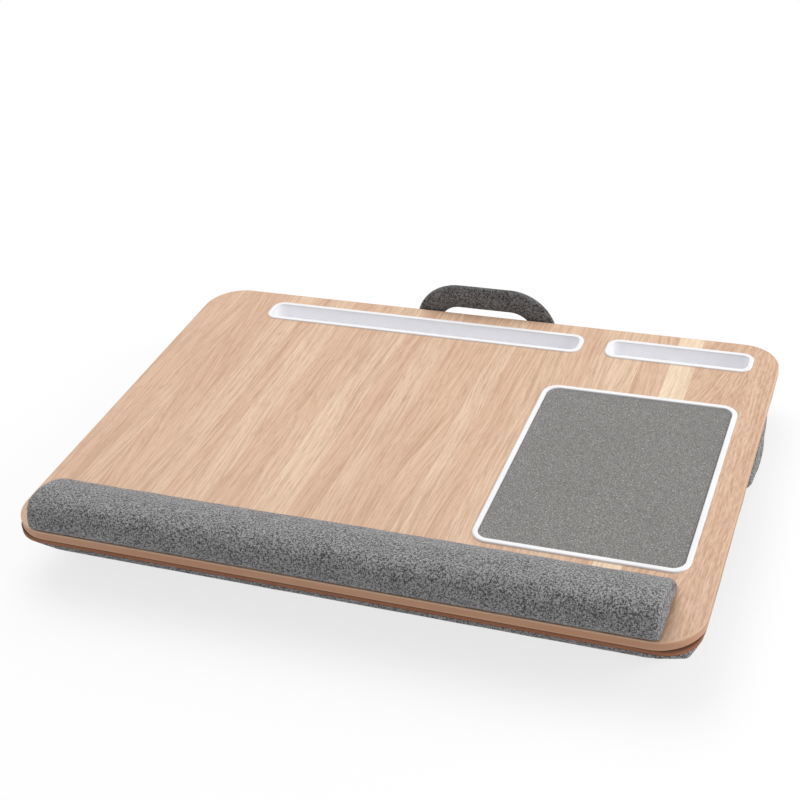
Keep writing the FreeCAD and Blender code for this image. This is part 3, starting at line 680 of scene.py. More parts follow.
def wrist_rest_cloth(cloth):
    """Padded roll with a sewn end cap at each end."""
    low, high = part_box("wrist_rest_cover")
    low = Vector((low.x - ROLL_SPREAD, low.y - ROLL_SPREAD, BOARD_HIGH.z + ROLL_LIFT))
    straight = high.x - low.x - 2 * ROLL_END
    run = run_along(roll_section(low, high, 0.0))
    rings = []
    weave = []

    def add_ring(x, inset):
        section = roll_section(low, high, inset)
        rings.append([Vector((x, p.x, p.y)) for p in section])
        weave.extend((x, v) for v in run)

    def end_ring(face, outward, angle):
        """One ring of a rounded end."""
        a = math.radians(angle)
        tuck = SEAM_TUCK * math.exp(-((angle - SEAM_ANGLE) / SEAM_SPAN) ** 2)
        add_ring(face - outward * ROLL_END * (1 - math.cos(a)), ROLL_END * (1 - math.sin(a)) + tuck)

    for angle in END_ANGLES:
        end_ring(low.x, -1, angle)
    for k in range(ROLL_STEPS + 1):
        add_ring(low.x + ROLL_END + straight * k / ROLL_STEPS, 0.0)
    for angle in reversed(END_ANGLES):
        end_ring(high.x, 1, angle)
    points, faces = loft(rings, (False, False))
    last = len(points) - len(rings[-1])
    close_end(points, faces, weave, rings[0], 0, -1, low.z)
    close_end(points, faces, weave, rings[-1], last, 1, low.z)
    made = piece("wrist_rest_cloth", points, faces, cloth, weave)
    soften(made.data, low, high)
    return made


def close_end(points, faces, weave, ring, first, outward, floor):
    """Closes the end at a ring, whose first point is given, with a slightly bulging cap."""
    around = len(ring)
    middle = sum(ring, Vector()) / around
    previous = [first + i for i in range(around)]
    for reach in CAP_REACHES:
        bulge = ROLL_CAP * math.sin(math.pi / 2 * min(1.0, reach * CAP_FULLNESS))
        start = len(points)
        for p in ring:
            q = p.lerp(middle, reach)
            points.append(Vector((p.x + outward * bulge, q.y, max(q.z, floor))))
            weave.append((q.y, q.z))
        following = list(range(start, start + around))
        faces += [
            (previous[i], previous[(i + 1) % around], following[(i + 1) % around], following[i])
            for i in range(around)
        ]
        previous = following
    faces.append(tuple(previous))


# Foam under cloth: swells as (size, height), and puckers beside the end seams, which fade
# within their reach and are longer along the roll than round it.
SWELLS = ((55 * MM, 0.7 * MM), (16 * MM, 0.25 * MM))
PUCKER = 0.5 * MM
PUCKER_REACH = 14 * MM
PUCKER_ALONG = 30 * MM
PUCKER_AROUND = 6.5 * MM
# The underside stays flat up to the first height, and the foot is calm up to the second.
FLAT_FOOT = 0.6 * MM
CALM_FOOT = 6 * MM


def soften(mesh, low, high):
    """Slight unevenness of foam under cloth, with small puckers beside the end seams."""
    normals = [v.normal.copy() for v in mesh.vertices]
    for v, normal in zip(mesh.vertices, normals):
        if v.co.z < low.z + FLAT_FOOT:
            continue
        from_end = min(v.co.x - low.x, high.x - v.co.x)
        pucker = math.exp(-max(from_end, 0.0) / PUCKER_REACH) * PUCKER
        fold = Vector((v.co.x / PUCKER_ALONG, v.co.y / PUCKER_AROUND, v.co.z / PUCKER_AROUND))
        push = sum(unevenness(v.co, size, height) for size, height in SWELLS)
        push += noise.noise(fold) * pucker
        rise = min(1.0, (v.co.z - low.z) / CALM_FOOT)
        v.co += normal * push * rise
    mesh.update()


# ---- mouse pad ---------------------------------------------------------------------------------
PAD_CORNER = 8.3 * MM
PAD_TIGHTEST = 0.6 * MM
PAD_PER_CORNER = 8
PAD_PER_SIDE = 24
# Rolled edge of the sheet: how far in, and how far below the top.
PAD_EDGE = ((0.0, 0.6 * MM), (0.15 * MM, 0.25 * MM), (0.5 * MM, 0.06 * MM), (1.2 * MM, 0.0))
# Rings of its flat part, in mm from the edge, and height and length of its slight waves.
PAD_RINGS = (6, 14, 24, 36, 50, 64, 74)
PAD_WAVE = 0.08 * MM
PAD_WAVE_SIZE = 50 * MM


def mouse_pad_leather(leather, crown):
    """Leatherette sheet, rolled down at its edge and slightly crowned."""
    low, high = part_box("mouse_pad_sheet")
    middle = ((low.x + high.x) / 2, (low.y + high.y) / 2)

    def pad_ring(inset, drop):
        """One ring of the sheet, at a depth below its top or on the crown where none is given."""
        size = (high.x - low.x - 2 * inset, high.y - low.y - 2 * inset)
        corner = max(PAD_CORNER - inset, PAD_TIGHTEST)
        ring = []
        for p in rounded_rectangle(*size, corner, middle, PAD_PER_CORNER, PAD_PER_SIDE):
            u = (p.x - middle[0]) / (high.x - low.x) * 2
            v = (p.y - middle[1]) / (high.y - low.y) * 2
            lift = crown * max(0.0, 1 - u ** 2) * max(0.0, 1 - v ** 2)
            lift += unevenness(Vector((p.x, p.y, 0.0)), PAD_WAVE_SIZE, PAD_WAVE)
            ring.append(Vector((p.x, p.y, high.z + (lift if drop is None else -drop))))
        return ring

    rings = [pad_ring(0.0, high.z - low.z)]
    rings += [pad_ring(inset, drop) for inset, drop in PAD_EDGE]
    rings += [pad_ring(inset * MM, None) for inset in PAD_RINGS]
    points, faces = loft(rings)
    return piece("mouse_pad_leather", points, faces, leather)


# ---- cushion -----------------------------------------------------------------------------------
# Top of a pillow: the skin that is raised before the mesh is made, by how much, the band that
# stays sewn while it is blown up, and how far below the top it is cut off in the end.
TOP_SKIN = 0.5 * MM
TOP_RISE = 8.0 * MM
SEWN_BAND = 3.0 * MM
CUT_BELOW_TOP = 0.2 * MM
PILLOW_SMOOTHING = 5
# Belly: its height over the floor, and the height up to which it flattens out.
FLOOR_ROOM = 0.3 * MM
RESTING = 3.0 * MM
CLOTH = {
    "quality": 6,
    "mass": 0.25,
    "vertex_group_mass": "sewn",
    "use_pressure": True,
    "shrink_min": -0.035,
    "bending_stiffness": 1.5,
}
# Seam near each end of a pillow.
SEAM_FROM_END = 8.5 * MM
SEAM_WIDTH = 1.3 * MM
SEAM_DEPTH = 0.5 * MM
SEAM_BELOW_TOP = 0.1 * MM
# Ends of the pillows: bulge past the solid, how much of it is lost one chord away from where
# it is fullest, how far that is ahead of the middle, and how much of the pillow takes part.
END_BULGE = 1.6 * MM
END_CURVE = 2.3 * MM
END_CHORD = 50.0 * MM
END_AHEAD = 46.0 * MM
END_ZONE = 60.0 * MM
# Squared ends: the corners' zone, the power of their curve, and the spread in depth.
END_CORNER = 28.0 * MM
END_SQUARENESS = 4.0
END_SPREAD = 4.5 * MM


def swollen_pillow(name, fill, cover, cloth, fabric, squared):
    """Pillow blown up from its filling, sewn to the deck along its top."""
    low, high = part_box(cover)
    body = show(name, frame["nodes"][fill].data.copy())
    for v in body.data.vertices:
        if v.co.z > high.z - TOP_SKIN:
            v.co.z += TOP_RISE
    apply_modifier(body, "REMESH", mode="VOXEL", voxel_size=fabric.voxel)
    start = [v.co.copy() for v in body.data.vertices]
    blow_up(body, high.z - SEWN_BAND, fabric)
    cap_movement(body.data, start, fabric.swell_limit)
    apply_modifier(body, "SMOOTH", factor=0.5, iterations=PILLOW_SMOOTHING)
    apply_modifier(body, "SUBSURF", levels=1, render_levels=1)
    furthest = max(abs(v.co.x) for v in body.data.vertices)
    if squared:
        square_corners(body.data, low, high, furthest)
    round_ends(body.data, low, high, furthest)
    sew(body.data, (low.x + SEAM_FROM_END, high.x - SEAM_FROM_END), high.z - CUT_BELOW_TOP)
    smooth_finish(body.data, cloth)
    return body


def apply_modifier(made, kind, **settings):
    """Adds one modifier and bakes it into the mesh."""
    modifier = made.modifiers.new(kind.lower(), kind)
    for name, value in settings.items():
        setattr(modifier, name, value)
    bake(made)


def bake(made):
    """Replaces the mesh by what its modifiers make of it."""
    view = bpy.context.evaluated_depsgraph_get()
    mesh = bpy.data.meshes.new_from_object(made.evaluated_get(view))
    made.modifiers.clear()
    made.data = mesh


def blow_up(made, sewn_from, fabric):
    """Lets the filling push the cloth out while its top stays sewn to the deck."""
    sewn = made.vertex_groups.new(name="sewn")
    for v in made.data.vertices:
        if v.co.z > sewn_from:
            sewn.add([v.index], 1.0, "REPLACE")
    cloth = made.modifiers.new("cloth", "CLOTH")
    for name, value in CLOTH.items():
        setattr(cloth.settings, name, value)
    cloth.settings.uniform_pressure_force = fabric.swell
    cloth.settings.effector_weights.gravity = 0.0
    cloth.point_cache.frame_start = 1
    cloth.point_cache.frame_end = fabric.frames
    scene = bpy.context.scene
    for step in range(1, fabric.frames + 1):
        scene.frame_set(step)
        bpy.context.view_layer.update()
    bake(made)
    scene.frame_set(1)


def cap_movement(mesh, start, limit):
    """Caps how far each point moved."""
    for v, before in zip(mesh.vertices, start):
        move = v.co - before
        if move.length > limit:
            v.co = before + move.normalized() * limit
    mesh.update()


def square_corners(mesh, low, high, furthest):
    """Fills out the corners of both ends and spreads the ends a little in depth."""
    middle = (low.y + high.y) / 2
    deepest = max(abs(v.co.y - middle) for v in mesh.vertices)
    power = END_SQUARENESS
    for v in mesh.vertices:
        out = abs(v.co.x) - furthest + END_CORNER
        ahead = abs(v.co.y - middle) - deepest + END_CORNER
        if out > 0.0 and ahead > 0.0:
            fuller = math.hypot(out, ahead) / (out ** power + ahead ** power) ** (1 / power) - 1.0
            v.co.x += math.copysign(out * fuller, v.co.x)
            v.co.y += math.copysign(ahead * fuller, v.co.y - middle)
        v.co.y += END_SPREAD * nearness(v.co.x, high.x) * (v.co.y - middle) / deepest


def nearness(x, end):
    """How near a point is to the end of a pillow, from 0 to 1."""
    return min(max((abs(x) - end + END_ZONE) / END_ZONE, 0.0), 1.0) ** 2


def round_ends(mesh, low, high, furthest):
    """Gives both ends a bulge that is fullest ahead of the middle, and rests the belly."""
    fullest = (low.y + high.y) / 2 - END_AHEAD
    floor = low.z + FLOOR_ROOM
    for v in mesh.vertices:
        wanted = high.x + END_BULGE - END_CURVE * ((v.co.y - fullest) / END_CHORD) ** 2
        v.co.x += math.copysign(1.0, v.co.x) * (wanted - furthest) * nearness(v.co.x, high.x)
        above = max(0.0, v.co.z - floor)
        if above < RESTING:
            v.co.z = floor + above * above / RESTING
    mesh.update()


def sew(mesh, seams, top):
    """Cuts the pillow off at the deck and draws in one seam round each end."""
    made = bmesh.new()
    made.from_mesh(mesh)

    def cut(place, normal, **settings):
        everything = made.verts[:] + made.edges[:] + made.faces[:]
        bmesh.ops.bisect_plane(made, geom=everything, plane_co=place, plane_no=normal, **settings)

    cut((0, 0, top), (0, 0, 1), clear_outer=True)
    bmesh.ops.edgeloop_fill(made, edges=[e for e in made.edges if e.is_boundary])
    for seam in seams:
        for shift in (-SEAM_WIDTH, 0.0, SEAM_WIDTH):
            cut((seam + shift, 0, 0), (1, 0, 0))
    made.normal_update()
    for v in made.verts:
        off = min(abs(v.co.x - seam) for seam in seams)
        if off < SEAM_WIDTH / 2 and v.co.z < top - SEAM_BELOW_TOP:
            v.co -= v.normal * SEAM_DEPTH
    bmesh.ops.recalc_face_normals(made, faces=made.faces)
    made.to_mesh(mesh)
    made.free()
    mesh.update()


# Deck: rounded corners, thickness of its cloth, bend along the lower edge, and waves.
DECK_CORNER = 28.0 * MM
DECK_TIGHTEST = 2 * MM
DECK_PER_CORNER = 20
DECK_PER_SIDE = 60
DECK_SKIN = 0.8 * MM
DECK_BEND = 1.7 * MM
DECK_BEND_STEPS = 5
DECK_WAVE = 0.3 * MM
DECK_WAVE_SIZE = 30 * MM
# Rings of the flat cloth below, of the outer wall as shares of the height, of the hem on top
# and of the inner wall.
DECK_FIELD = (18 * MM, 60 * MM, 120 * MM)
DECK_SIDES = (0.5, 0.75, 1.0)
DECK_HEM = 4 * MM
DECK_WALL = 12.0 * MM
# Lower edge near the plain corners: how far it is drawn in, and how far round the corner.
DRAW = 4.6 * MM
DRAW_REACH = 30 * MM
# Right front corner: drawn in on both sides of a narrow fold that stands out.
FOLD_DRAW = 2.2 * MM
FOLD_TO_DRAW = 15 * MM
FOLD_DRAW_REACH = 9 * MM
FOLD_WIDTH = 4 * MM


def corner_draw(place, low, high):
    """How far the lower edge is drawn in near a corner, and pushed out at the sewn fold."""
    drawn = 0.0
    to_arc = DECK_CORNER * (1 - math.sqrt(0.5))
    for side in (-1, 1):
        for depth in (-1, 1):
            x = (high.x if side > 0 else low.x) - side * to_arc
            y = (high.y if depth > 0 else low.y) - depth * to_arc
            off = math.hypot(place.x - x, place.y - y)
            if side > 0 and depth < 0:
                drawn += FOLD_DRAW * math.exp(-((off - FOLD_TO_DRAW) / FOLD_DRAW_REACH) ** 2)
                drawn -= DECK_BEND * math.exp(-(off / FOLD_WIDTH) ** 2)
            else:
                drawn += DRAW * math.exp(-(off / DRAW_REACH) ** 4)
    return drawn


def deck_cloth(cloth):
    """Foam deck in its cloth: drawn in at the corners along its lower edge."""
    low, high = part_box("deck_cover")
    middle = ((low.x + high.x) / 2, (low.y + high.y) / 2)
    full = (high.x - low.x, high.y - low.y)
    rings = []

    def add_ring(inset, z, puff):
        """One ring, with waves and drawn-in corners where puff is 1 and plain where it is 0."""
        size = (full[0] - 2 * inset, full[1] - 2 * inset)
        corner = max(DECK_CORNER - inset, DECK_TIGHTEST)
        drop = 1.0 - (z - low.z) / (high.z - low.z)
        ring = []
        for p in rounded_rectangle(*size, corner, middle, DECK_PER_CORNER, DECK_PER_SIDE):
            outward = Vector((p.x - middle[0], p.y - middle[1], 0.0))
            outward.x = math.copysign(max(abs(outward.x) - full[0] / 2 + DECK_CORNER, 0.0), outward.x)
            outward.y = math.copysign(max(abs(outward.y) - full[1] / 2 + DECK_CORNER, 0.0), outward.y)
            outward.normalize()
            wave = unevenness(Vector((p.x, p.y, 0.0)), DECK_WAVE_SIZE, DECK_WAVE)
            moved = outward * puff * (wave - corner_draw(p, low, high) * drop)
            ring.append(Vector((p.x, p.y, z)) + moved)
        rings.append(ring)

    for inset in reversed(DECK_FIELD):
        add_ring(inset, low.z, 0.0)
    for k in range(DECK_BEND_STEPS, -1, -1):
        a = math.radians(90 * k / DECK_BEND_STEPS)
        add_ring(DECK_BEND * (1 - math.cos(a)), low.z + DECK_BEND * (1 - math.sin(a)), 1.0)
    for share_up in DECK_SIDES:
        add_ring(0.0, low.z + (high.z - low.z) * share_up, 1.0)
    for inset, z in ((DECK_HEM, high.z), (DECK_WALL, high.z), (DECK_WALL, low.z + DECK_SKIN)):
        add_ring(inset, z, 0.0)
    for inset in DECK_FIELD:
        add_ring(inset, low.z + DECK_SKIN, 0.0)
    points, faces = loft(rings)
    return piece("deck_cloth", points, faces, cloth)


# ---- carry handle ------------------------------------------------------------------------------
# Strap: size, straight run above each hinge, roundness of its edges, crown of its faces and its
# thinnest place as shares of the thickness, and waves along it.
STRAP_WIDTH = 24.0 * MM
STRAP_THICKNESS = 6.0 * MM
STRAP_STRAIGHT = 1.0 * MM
STRAP_EDGE = 2.2 * MM
STRAP_CROWN = 0.20
STRAP_THINNEST = 0.02
STRAP_WAVE = 0.03
STRAP_WAVE_SIZE = 20 * MM
# Sewn channel along each edge: place, width, and depth as a share of the thickness.
CHANNEL_FROM_EDGE = 3.4 * MM
CHANNEL_WIDTH = 0.55 * MM
CHANNEL_DEPTH = 0.16
# Steps round the section, round each bend and along the grip, and rings of the rounded feet as
# shares of the way from the hinge to the tip, which is left a little open.
SECTION_STEPS = 26
BEND_STEPS = 24
GRIP_STEPS = 12
FOOT_RINGS = (1.0, 0.97, 0.9, 0.8, 0.66, 0.48, 0.26)
FOOT_TIP = 0.0001
# Stitches: how many along the loop, half length, thickness and place out of the middle plane.
STITCHES = 74
STITCH_HALF = 1.15 * MM
STITCH_RADIUS = 0.28 * MM
STITCH_OUT = 2.28 * MM


def handle_line():
    """Middle line of the loop, from the left hinge to the right one."""
    low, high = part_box("handle_cover")
    leg = (high.x - low.x - STRAP_WIDTH) / 2
    middle = (low.x + high.x) / 2
    radius = high.z - STRAP_WIDTH / 2 - HINGE.z - STRAP_STRAIGHT
    bend = Vector((leg - radius, HINGE.y, HINGE.z + STRAP_STRAIGHT))
    line = [Vector((middle - leg, HINGE.y, HINGE.z))]
    for k in range(BEND_STEPS + 1):
        a = math.radians(180 - 90 * k / BEND_STEPS)
        line.append(Vector((middle - bend.x + radius * math.cos(a), bend.y, bend.z + radius * math.sin(a))))
    mirrored = [Vector((2 * middle - p.x, p.y, p.z)) for p in reversed(line)]
    for k in range(1, GRIP_STEPS):
        line.append(Vector((middle - bend.x + 2 * bend.x * k / GRIP_STEPS, bend.y, bend.z + radius)))
    return line + mirrored


def strap_section(half_thickness):
    """Section of the padded strap: (across, out of plane), with a sewn channel near each edge."""
    made = []
    half = STRAP_WIDTH / 2
    for face in (1, -1):
        for k in range(SECTION_STEPS):
            s = face * (1 - 2 * k / SECTION_STEPS)
            edge = min(1.0, (1 - abs(s)) * half / STRAP_EDGE)
            rim = math.sqrt(max(0.0, 1 - (1 - edge) ** 2))
            crown = 1 - STRAP_CROWN + STRAP_CROWN * (1 - s ** 2)
            off = abs(s) * half - (half - CHANNEL_FROM_EDGE)
            groove = CHANNEL_DEPTH * math.exp(-(off / CHANNEL_WIDTH) ** 2)
            made.append((s * half, face * half_thickness * max(STRAP_THINNEST, rim * crown - groove * rim)))
    return made


def handle_cloth(cloth):
    """Padded loop with legs that roll round the hinge line."""
    line = handle_line()
    runs = run_along(line)
    half = STRAP_THICKNESS / 2
    rings = []
    weave = []

    def add_ring(at, across, thickness, run):
        ring = []
        for a, b in strap_section(thickness):
            ring.append(at + across * a + Vector((0.0, b, 0.0)))
            weave.append((run, a + (STRAP_WIDTH if b < 0 else 0.0)))
        rings.append(ring)

    def foot_ring(at, side, t, run):
        """One ring of a rounded foot, a share of the way down to its tip."""
        thickness = half * math.sqrt(1 + FOOT_TIP - t * t)
        add_ring(at - Vector((0, 0, half * t)), Vector((side, 0, 0)), thickness, run + side * half * t)

    # The rings of the feet run against the loop, so each foot is lofted inside out.
    for t in reversed(FOOT_RINGS):
        foot_ring(line[0], -1, t, 0.0)
    for i, (p, run) in enumerate(zip(line, runs)):
        tangent = heading(line, i).normalized()
        if i in (0, len(line) - 1):
            tangent = Vector((0, 0, 1 if i == 0 else -1))
        across = Vector((-tangent.z, 0.0, tangent.x))
        wave = 1.0 + STRAP_WAVE * noise.noise(Vector((run / STRAP_WAVE_SIZE, 0.0, 3.0)))
        add_ring(p, across, half * min(1.0, wave), run)
    for t in FOOT_RINGS:
        foot_ring(line[-1], 1, t, runs[-1])
    points, faces = loft(rings)
    return piece("handle_cloth", points, faces, cloth, weave)


def handle_stitches(thread):
    """Two rows of lockstitch on each face of the loop."""
    line = even_points(handle_line(), STITCHES)
    points = []
    faces = []
    half = STRAP_WIDTH / 2 - CHANNEL_FROM_EDGE
    for i in range(1, len(line) - 1):
        tangent = heading(line, i).normalized()
        across = Vector((-tangent.z, 0.0, tangent.x))
        for side in (-1, 1):
            for face in (-1, 1):
                middle = line[i] + across * side * half + Vector((0, face * STITCH_OUT, 0))
                stitch(points, faces, middle, tangent, Vector((0, face, 0)))
    return piece("handle_stitches", points, faces, thread)


STITCH_RINGS = 7
STITCH_SIDES = 6


def stitch(points, faces, middle, along, up):
    """One short thread that dives into the cloth at both ends."""
    side = along.cross(up).normalized()
    rings = []
    for k in range(STITCH_RINGS):
        t = -1 + 2 * k / (STITCH_RINGS - 1)
        rise = STITCH_RADIUS * (1.5 * (1 - t * t) - 0.9)
        thick = STITCH_RADIUS * (0.45 + 0.55 * math.sqrt(max(0.0, 1 - t * t)))
        at = middle + along * STITCH_HALF * t + up * rise
        angles = [2 * math.pi * j / STITCH_SIDES for j in range(STITCH_SIDES)]
        rings.append([at + side * thick * math.cos(a) + up * thick * math.sin(a) for a in angles])
    more, joined = loft(rings)
    base = len(points)
    points.extend(more)
    faces.extend(tuple(base + i for i in f) for f in joined)


# Webbing tab: rings along it, points round it, and powers that square its section across and
# up. Its end rings have a share of the thickness, and each further ring gains another share.
TAB_STEPS = 14
TAB_AROUND = 20
TAB_SQUARE_ACROSS = 0.35
TAB_SQUARE_UP = 0.55
TAB_END = 0.45
TAB_END_RISE = 0.9


def webbing_tab(name, side, webbing):
    """Flat webbing from under the deck to the hinge line."""
    low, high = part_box("handle_tabs")
    left = low.x if side < 0 else high.x - STRAP_WIDTH
    rings = []
    weave = []
    for i in range(TAB_STEPS + 1):
        y = low.y + (high.y - low.y) * i / TAB_STEPS
        end = min(1.0, min(i, TAB_STEPS - i) * TAB_END_RISE + TAB_END)
        ring = []
        for k in range(TAB_AROUND):
            a = 2 * math.pi * (k + 0.5) / TAB_AROUND
            across = math.copysign(abs(math.cos(a)) ** TAB_SQUARE_ACROSS, math.cos(a))
            up = math.copysign(abs(math.sin(a)) ** TAB_SQUARE_UP, math.sin(a)) * end
            x = left + STRAP_WIDTH / 2 + across * STRAP_WIDTH / 2
            ring.append(Vector((x, y, (low.z + high.z) / 2 + up * (high.z - low.z) / 2)))
        weave.extend((p.x, p.y) for p in ring)
        rings.append(ring)
    points, faces = loft(rings)
    return piece(name, points, faces, webbing, weave)


# ---- operators ---------------------------------------------------------------------------------
# Colours that aren't settings, light and dark where there are two.
PAD_FOAM = (0.05, 0.05, 0.055)
ROLL_FOAM = (0.75, 0.70, 0.50)
THREAD = ((0.30, 0.30, 0.31), (0.12, 0.12, 0.12))
WEBBING = ((0.07, 0.07, 0.075), (0.02, 0.02, 0.02))
STIFFENER = (0.02, 0.02, 0.02)
# Cell sizes of the two foams, and relief of the two boards.
PAD_FOAM_CELL = 0.6 * MM
ROLL_FOAM_CELL = 1.2 * MM
FIBREBOARD_RELIEF = 0.1 * MM
HARDBOARD_RELIEF = 0.08 * MM


class LAPDESK_OT_board(bpy.types.Operator):
    """Finish the board, its edge band, core and base panel"""

    bl_idname = "lapdesk.board"
    bl_label = "Board"

    def execute(self, context):
        wood = context.scene.lapdesk_wood
        paint("top_laminate", veneer(wood))
        paint("edge_band", edge_foil(wood))
        fleck = tuple(c * 0.6 for c in wood.core)
        core = pressed_board("raw_fibreboard", wood.core, fleck, 0.5, FIBREBOARD_RELIEF)
        paint("board_core", core)
        paint("wrist_rest_base", core)
        # The base panel's top gets painted shade from under the board's overhang.
        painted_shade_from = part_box("base_panel")[1].z - PAINTED_SHADE_DEPTH
        tones = (wood.hardboard, wood.grain)
        hard = pressed_board("pressed_hardboard", *tones, 0.35, HARDBOARD_RELIEF, painted_shade_from)
        paint("base_panel", hard)
        return {"FINISHED"}


class LAPDESK_OT_trays(bpy.types.Operator):
    """Finish the slot trays and the pad's frame"""

    bl_idname = "lapdesk.trays"
    bl_label = "Trays and pad frame"

    def execute(self, context):
        plastic = context.scene.lapdesk_plastic
        white = moulded_plastic(
            "white_moulded_plastic", tuple(plastic.white), plastic.roughness, tuple(plastic.inner),
        )
        for node in ("tablet_tray", "phone_tray", "mouse_pad_frame"):
            paint(node, white)
        return {"FINISHED"}


class LAPDESK_OT_mouse_pad(bpy.types.Operator):
    """Build the leatherette mouse pad"""

    bl_idname = "lapdesk.mouse_pad"
    bl_label = "Mouse pad"

    def execute(self, context):
        pad = context.scene.lapdesk_pad
        sheet = mouse_pad_leather(leatherette(pad), pad.crown)
        dress(sheet, "desk", "pad_leather", "mouse_pad_sheet")
        paint("mouse_pad_backing", open_foam("closed_cell_foam", PAD_FOAM, PAD_FOAM_CELL))
        return {"FINISHED"}


class LAPDESK_OT_wrist_rest(bpy.types.Operator):
    """Build the padded wrist rest"""

    bl_idname = "lapdesk.wrist_rest"
    bl_label = "Wrist rest"

    def execute(self, context):
        fabric = context.scene.lapdesk_fabric
        yarns = (fabric.light_yarn, fabric.dark_yarn, fabric.yarn)
        cloth = melange("wrist_rest_melange", *yarns, fabric.relief)
        roll = wrist_rest_cloth(cloth)
        dress(roll, "desk", "melange_fabric", "wrist_rest_cover")
        paint("wrist_rest_foam", open_foam("wrist_rest_foam_cells", ROLL_FOAM, ROLL_FOAM_CELL))
        return {"FINISHED"}


class LAPDESK_OT_cushion(bpy.types.Operator):
    """Build the deck's cloth and both pillows"""

    bl_idname = "lapdesk.cushion"
    bl_label = "Cushion"

    def execute(self, context):
        fabric = context.scene.lapdesk_fabric
        yarns = (fabric.cushion_light, fabric.cushion_dark, fabric.yarn)
        cloth = melange("cushion_melange", *yarns, fabric.relief, flat_cloth=False)
        deck = deck_cloth(cloth)
        dress(deck, "desk", "cushion_fabric", "deck_cover", "deck_foam")
        for side in ("front", "rear"):
            cover = side + "_bolster_cover"
            fill = side + "_bolster_fill"
            squared = side == "rear"
            pillow = swollen_pillow(side + "_bolster_cloth", fill, cover, cloth, fabric, squared)
            dress(pillow, "desk", "cushion_fabric", cover, fill)
        return {"FINISHED"}


class LAPDESK_OT_handle(bpy.types.Operator):
    """Build the carry handle and its tabs"""

    bl_idname = "lapdesk.handle"
    bl_label = "Carry handle"

    def execute(self, context):
        fabric = context.scene.lapdesk_fabric
        yarns = (fabric.handle_light, fabric.handle_dark, fabric.yarn)
        cloth = melange("handle_melange", *yarns, fabric.relief)
        loop = handle_cloth(cloth)
        dress(loop, "carry_handle", "handle_fabric", "handle_cover")
        thread = webbing_weave("handle_thread", *THREAD)
        dress(handle_stitches(thread), "carry_handle", "handle_fabric")
        webbing = webbing_weave("ribbed_webbing", *WEBBING)
        for side, name in ((-1, "handle_tab_left"), (1, "handle_tab_right")):
            tab = webbing_tab(name, side, webbing)
            dress(tab, "desk", "webbing", "handle_tabs")
        paint("handle_stiffener", moulded_plastic("black_sheet_plastic", STIFFENER, 0.5))
        return {"FINISHED"}


class LAPDESK_OT_fasteners(bpy.types.Operator):
    """Finish the screws and washers"""

    bl_idname = "lapdesk.fasteners"
    bl_label = "Fasteners"

    def execute(self, context):
        steel = plated_steel()
        for node in ("wrist_rest_screws", "panel_screws", "handle_screws", "handle_washers"):
            paint(node, steel)
        return {"FINISHED"}


# Places in metres round the desk, which stands on the middle of the floor.
LAMP_TARGET = (0.0, 0.0, 0.05)
KEY_PLACE = (-0.5, 0.5, 2.2)
KEY_SIZE = 1.8
FILL_PLACE = (1.9, 0.35, 0.75)
FILL_SIZE = 1.4
CAMERA_PLACE = (0.40965, -0.96578, 0.77811)
CAMERA_RIGHT = (0.9344, 0.3459, -0.0853)
CAMERA_UP = (-0.1236, 0.5394, 0.8329)
SENSOR_WIDTH = 36.0
WHITE = (1.0, 1.0, 1.0)
PAPER_CLOUD = (0.9, 0.9, 0.9)
# The floor shades fully round the desk and turns into plain white further away.
FLOOR_REACH = 30.0
NEAR_FLOOR = 0.42
FAR_FLOOR = 1.1
FLOOR_GLOW = 0.76


def lamp(name, power, size, place):
    """Large soft lamp that looks at the desk."""
    data = bpy.data.lights.new(name, "AREA")
    data.energy = power
    data.size = size
    made = show(name, data)
    made.location = place
    made.rotation_euler = (Vector(LAMP_TARGET) - Vector(place)).to_track_quat("-Z", "Y").to_euler()


def background(sky):
    """White where it is seen, and a plain level of light on the object."""
    world = bpy.data.worlds.new("studio")
    bpy.context.scene.world = world
    world.use_nodes = True
    tree = world.node_tree
    tree.nodes.clear()
    path = tree.nodes.new("ShaderNodeLightPath")
    seen = path.outputs["Is Camera Ray"]
    for name in ("Is Glossy Ray", "Is Transmission Ray"):
        either = tree.nodes.new("ShaderNodeMath")
        either.operation = "MAXIMUM"
        tree.links.new(seen, either.inputs[0])
        tree.links.new(path.outputs[name], either.inputs[1])
        seen = either.outputs[0]
    mix = tree.nodes.new("ShaderNodeMixShader")
    tree.links.new(seen, mix.inputs[0])
    for socket, strength in ((mix.inputs[1], sky), (mix.inputs[2], 1.0)):
        light = tree.nodes.new("ShaderNodeBackground")
        light.inputs["Color"].default_value = (*WHITE, 1.0)
        light.inputs["Strength"].default_value = strength
        tree.links.new(light.outputs[0], socket)
    output = tree.nodes.new("ShaderNodeOutputWorld")
    tree.links.new(mix.outputs[0], output.inputs["Surface"])


def floor_paper(plain_colour):
    """Matt paper that glows towards plain white further away from the desk."""
    paper = Finish("studio_floor")
    grain = paper.noise(paper.place(), 3.0, 1.0)
    tone = paper.mixed(paper.spread(grain, 0.3, 0.7, 0.0, 0.05), plain_colour, PAPER_CLOUD)
    paper.surface(Base_Color=tone, Roughness=0.9, Specular_IOR_Level=0.0)
    glow = paper.add("Emission", {"Color": WHITE, "Strength": 1.0})
    away = paper.add("VectorMath", {0: paper.place()}, operation="LENGTH").outputs["Value"]
    plain = paper.spread(away, NEAR_FLOOR, FAR_FLOOR, FLOOR_GLOW, 1.0)
    seen = paper.maths("MULTIPLY", paper.add("LightPath").outputs["Is Camera Ray"], plain)
    mix = paper.add("MixShader", {0: seen, 1: paper.shader.outputs[0], 2: glow.outputs[0]})
    output = paper.tree.nodes["Material Output"]
    paper.tree.links.new(mix.outputs[0], output.inputs["Surface"])
    return paper.material


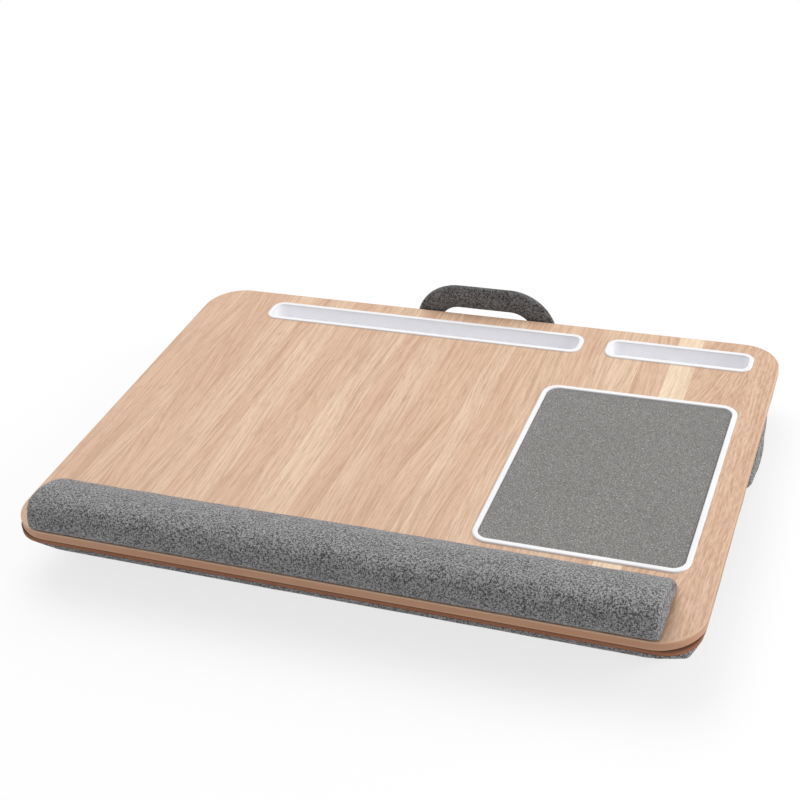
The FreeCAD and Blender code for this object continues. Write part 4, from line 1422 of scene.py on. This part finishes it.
def set_camera(scene, lens):
    """Camera at its place, turned by its own right and up directions."""
    data = bpy.data.cameras.new("camera")
    data.sensor_width = SENSOR_WIDTH
    data.lens = lens
    right = Vector(CAMERA_RIGHT)
    back = right.cross(Vector(CAMERA_UP)).normalized()
    up = back.cross(right).normalized()
    right.normalize()
    turn = Matrix((right, up, back)).transposed().to_4x4()
    camera = show("camera", data)
    camera.matrix_world = Matrix.Translation(CAMERA_PLACE) @ turn
    scene.camera = camera


class LAPDESK_OT_stage(bpy.types.Operator):
    """Build the floor, lamps and camera"""

    bl_idname = "lapdesk.stage"
    bl_label = "Stage"

    def execute(self, context):
        scene = context.scene
        stage = scene.lapdesk_stage
        background(stage.sky)
        lamp("key_lamp", stage.key, KEY_SIZE, KEY_PLACE)
        lamp("fill_lamp", stage.fill, FILL_SIZE, FILL_PLACE)
        reach = FLOOR_REACH
        corners = [(-reach, -reach, 0.0), (reach, -reach, 0.0), (reach, reach, 0.0), (-reach, reach, 0.0)]
        floor = piece("studio_floor", corners, [(0, 1, 2, 3)], floor_paper(stage.floor))
        scene.view_settings.view_transform = "Standard"
        set_camera(scene, stage.lens)
        return {"FINISHED"}


GROUPS = {
    "lapdesk_wood": LapDeskWood,
    "lapdesk_plastic": LapDeskPlastic,
    "lapdesk_pad": LapDeskPad,
    "lapdesk_fabric": LapDeskFabric,
    "lapdesk_stage": LapDeskStage,
}
OPERATORS = (
    LAPDESK_OT_board,
    LAPDESK_OT_trays,
    LAPDESK_OT_mouse_pad,
    LAPDESK_OT_wrist_rest,
    LAPDESK_OT_cushion,
    LAPDESK_OT_handle,
    LAPDESK_OT_fasteners,
    LAPDESK_OT_stage,
)


class LAPDESK_PT_panel(bpy.types.Panel):
    """Settings and build steps of the lap desk"""

    bl_idname = "LAPDESK_PT_panel"
    bl_label = "Lap Desk"
    bl_space_type = "VIEW_3D"
    bl_region_type = "UI"
    bl_category = "Lap Desk"

    def draw(self, context):
        for name, group in GROUPS.items():
            box = self.layout.box()
            box.label(text=group.__doc__)
            for setting in group.__annotations__:
                box.prop(getattr(context.scene, name), setting)
        for operator in OPERATORS:
            self.layout.operator(operator.bl_idname)


def register():
    for name, group in GROUPS.items():
        bpy.utils.register_class(group)
        setattr(bpy.types.Scene, name, PointerProperty(type=group))
    for operator in OPERATORS:
        bpy.utils.register_class(operator)
    bpy.utils.register_class(LAPDESK_PT_panel)


def unregister():
    bpy.utils.unregister_class(LAPDESK_PT_panel)
    for operator in reversed(OPERATORS):
        bpy.utils.unregister_class(operator)
    for name, group in reversed(GROUPS.items()):
        delattr(bpy.types.Scene, name)
        bpy.utils.unregister_class(group)


def main():
    """Builds everything in order."""
    register()
    for operator in OPERATORS:
        group, name = operator.bl_idname.split(".")
        getattr(getattr(bpy.ops, group), name)()


if __name__ == "__main__":
    main()
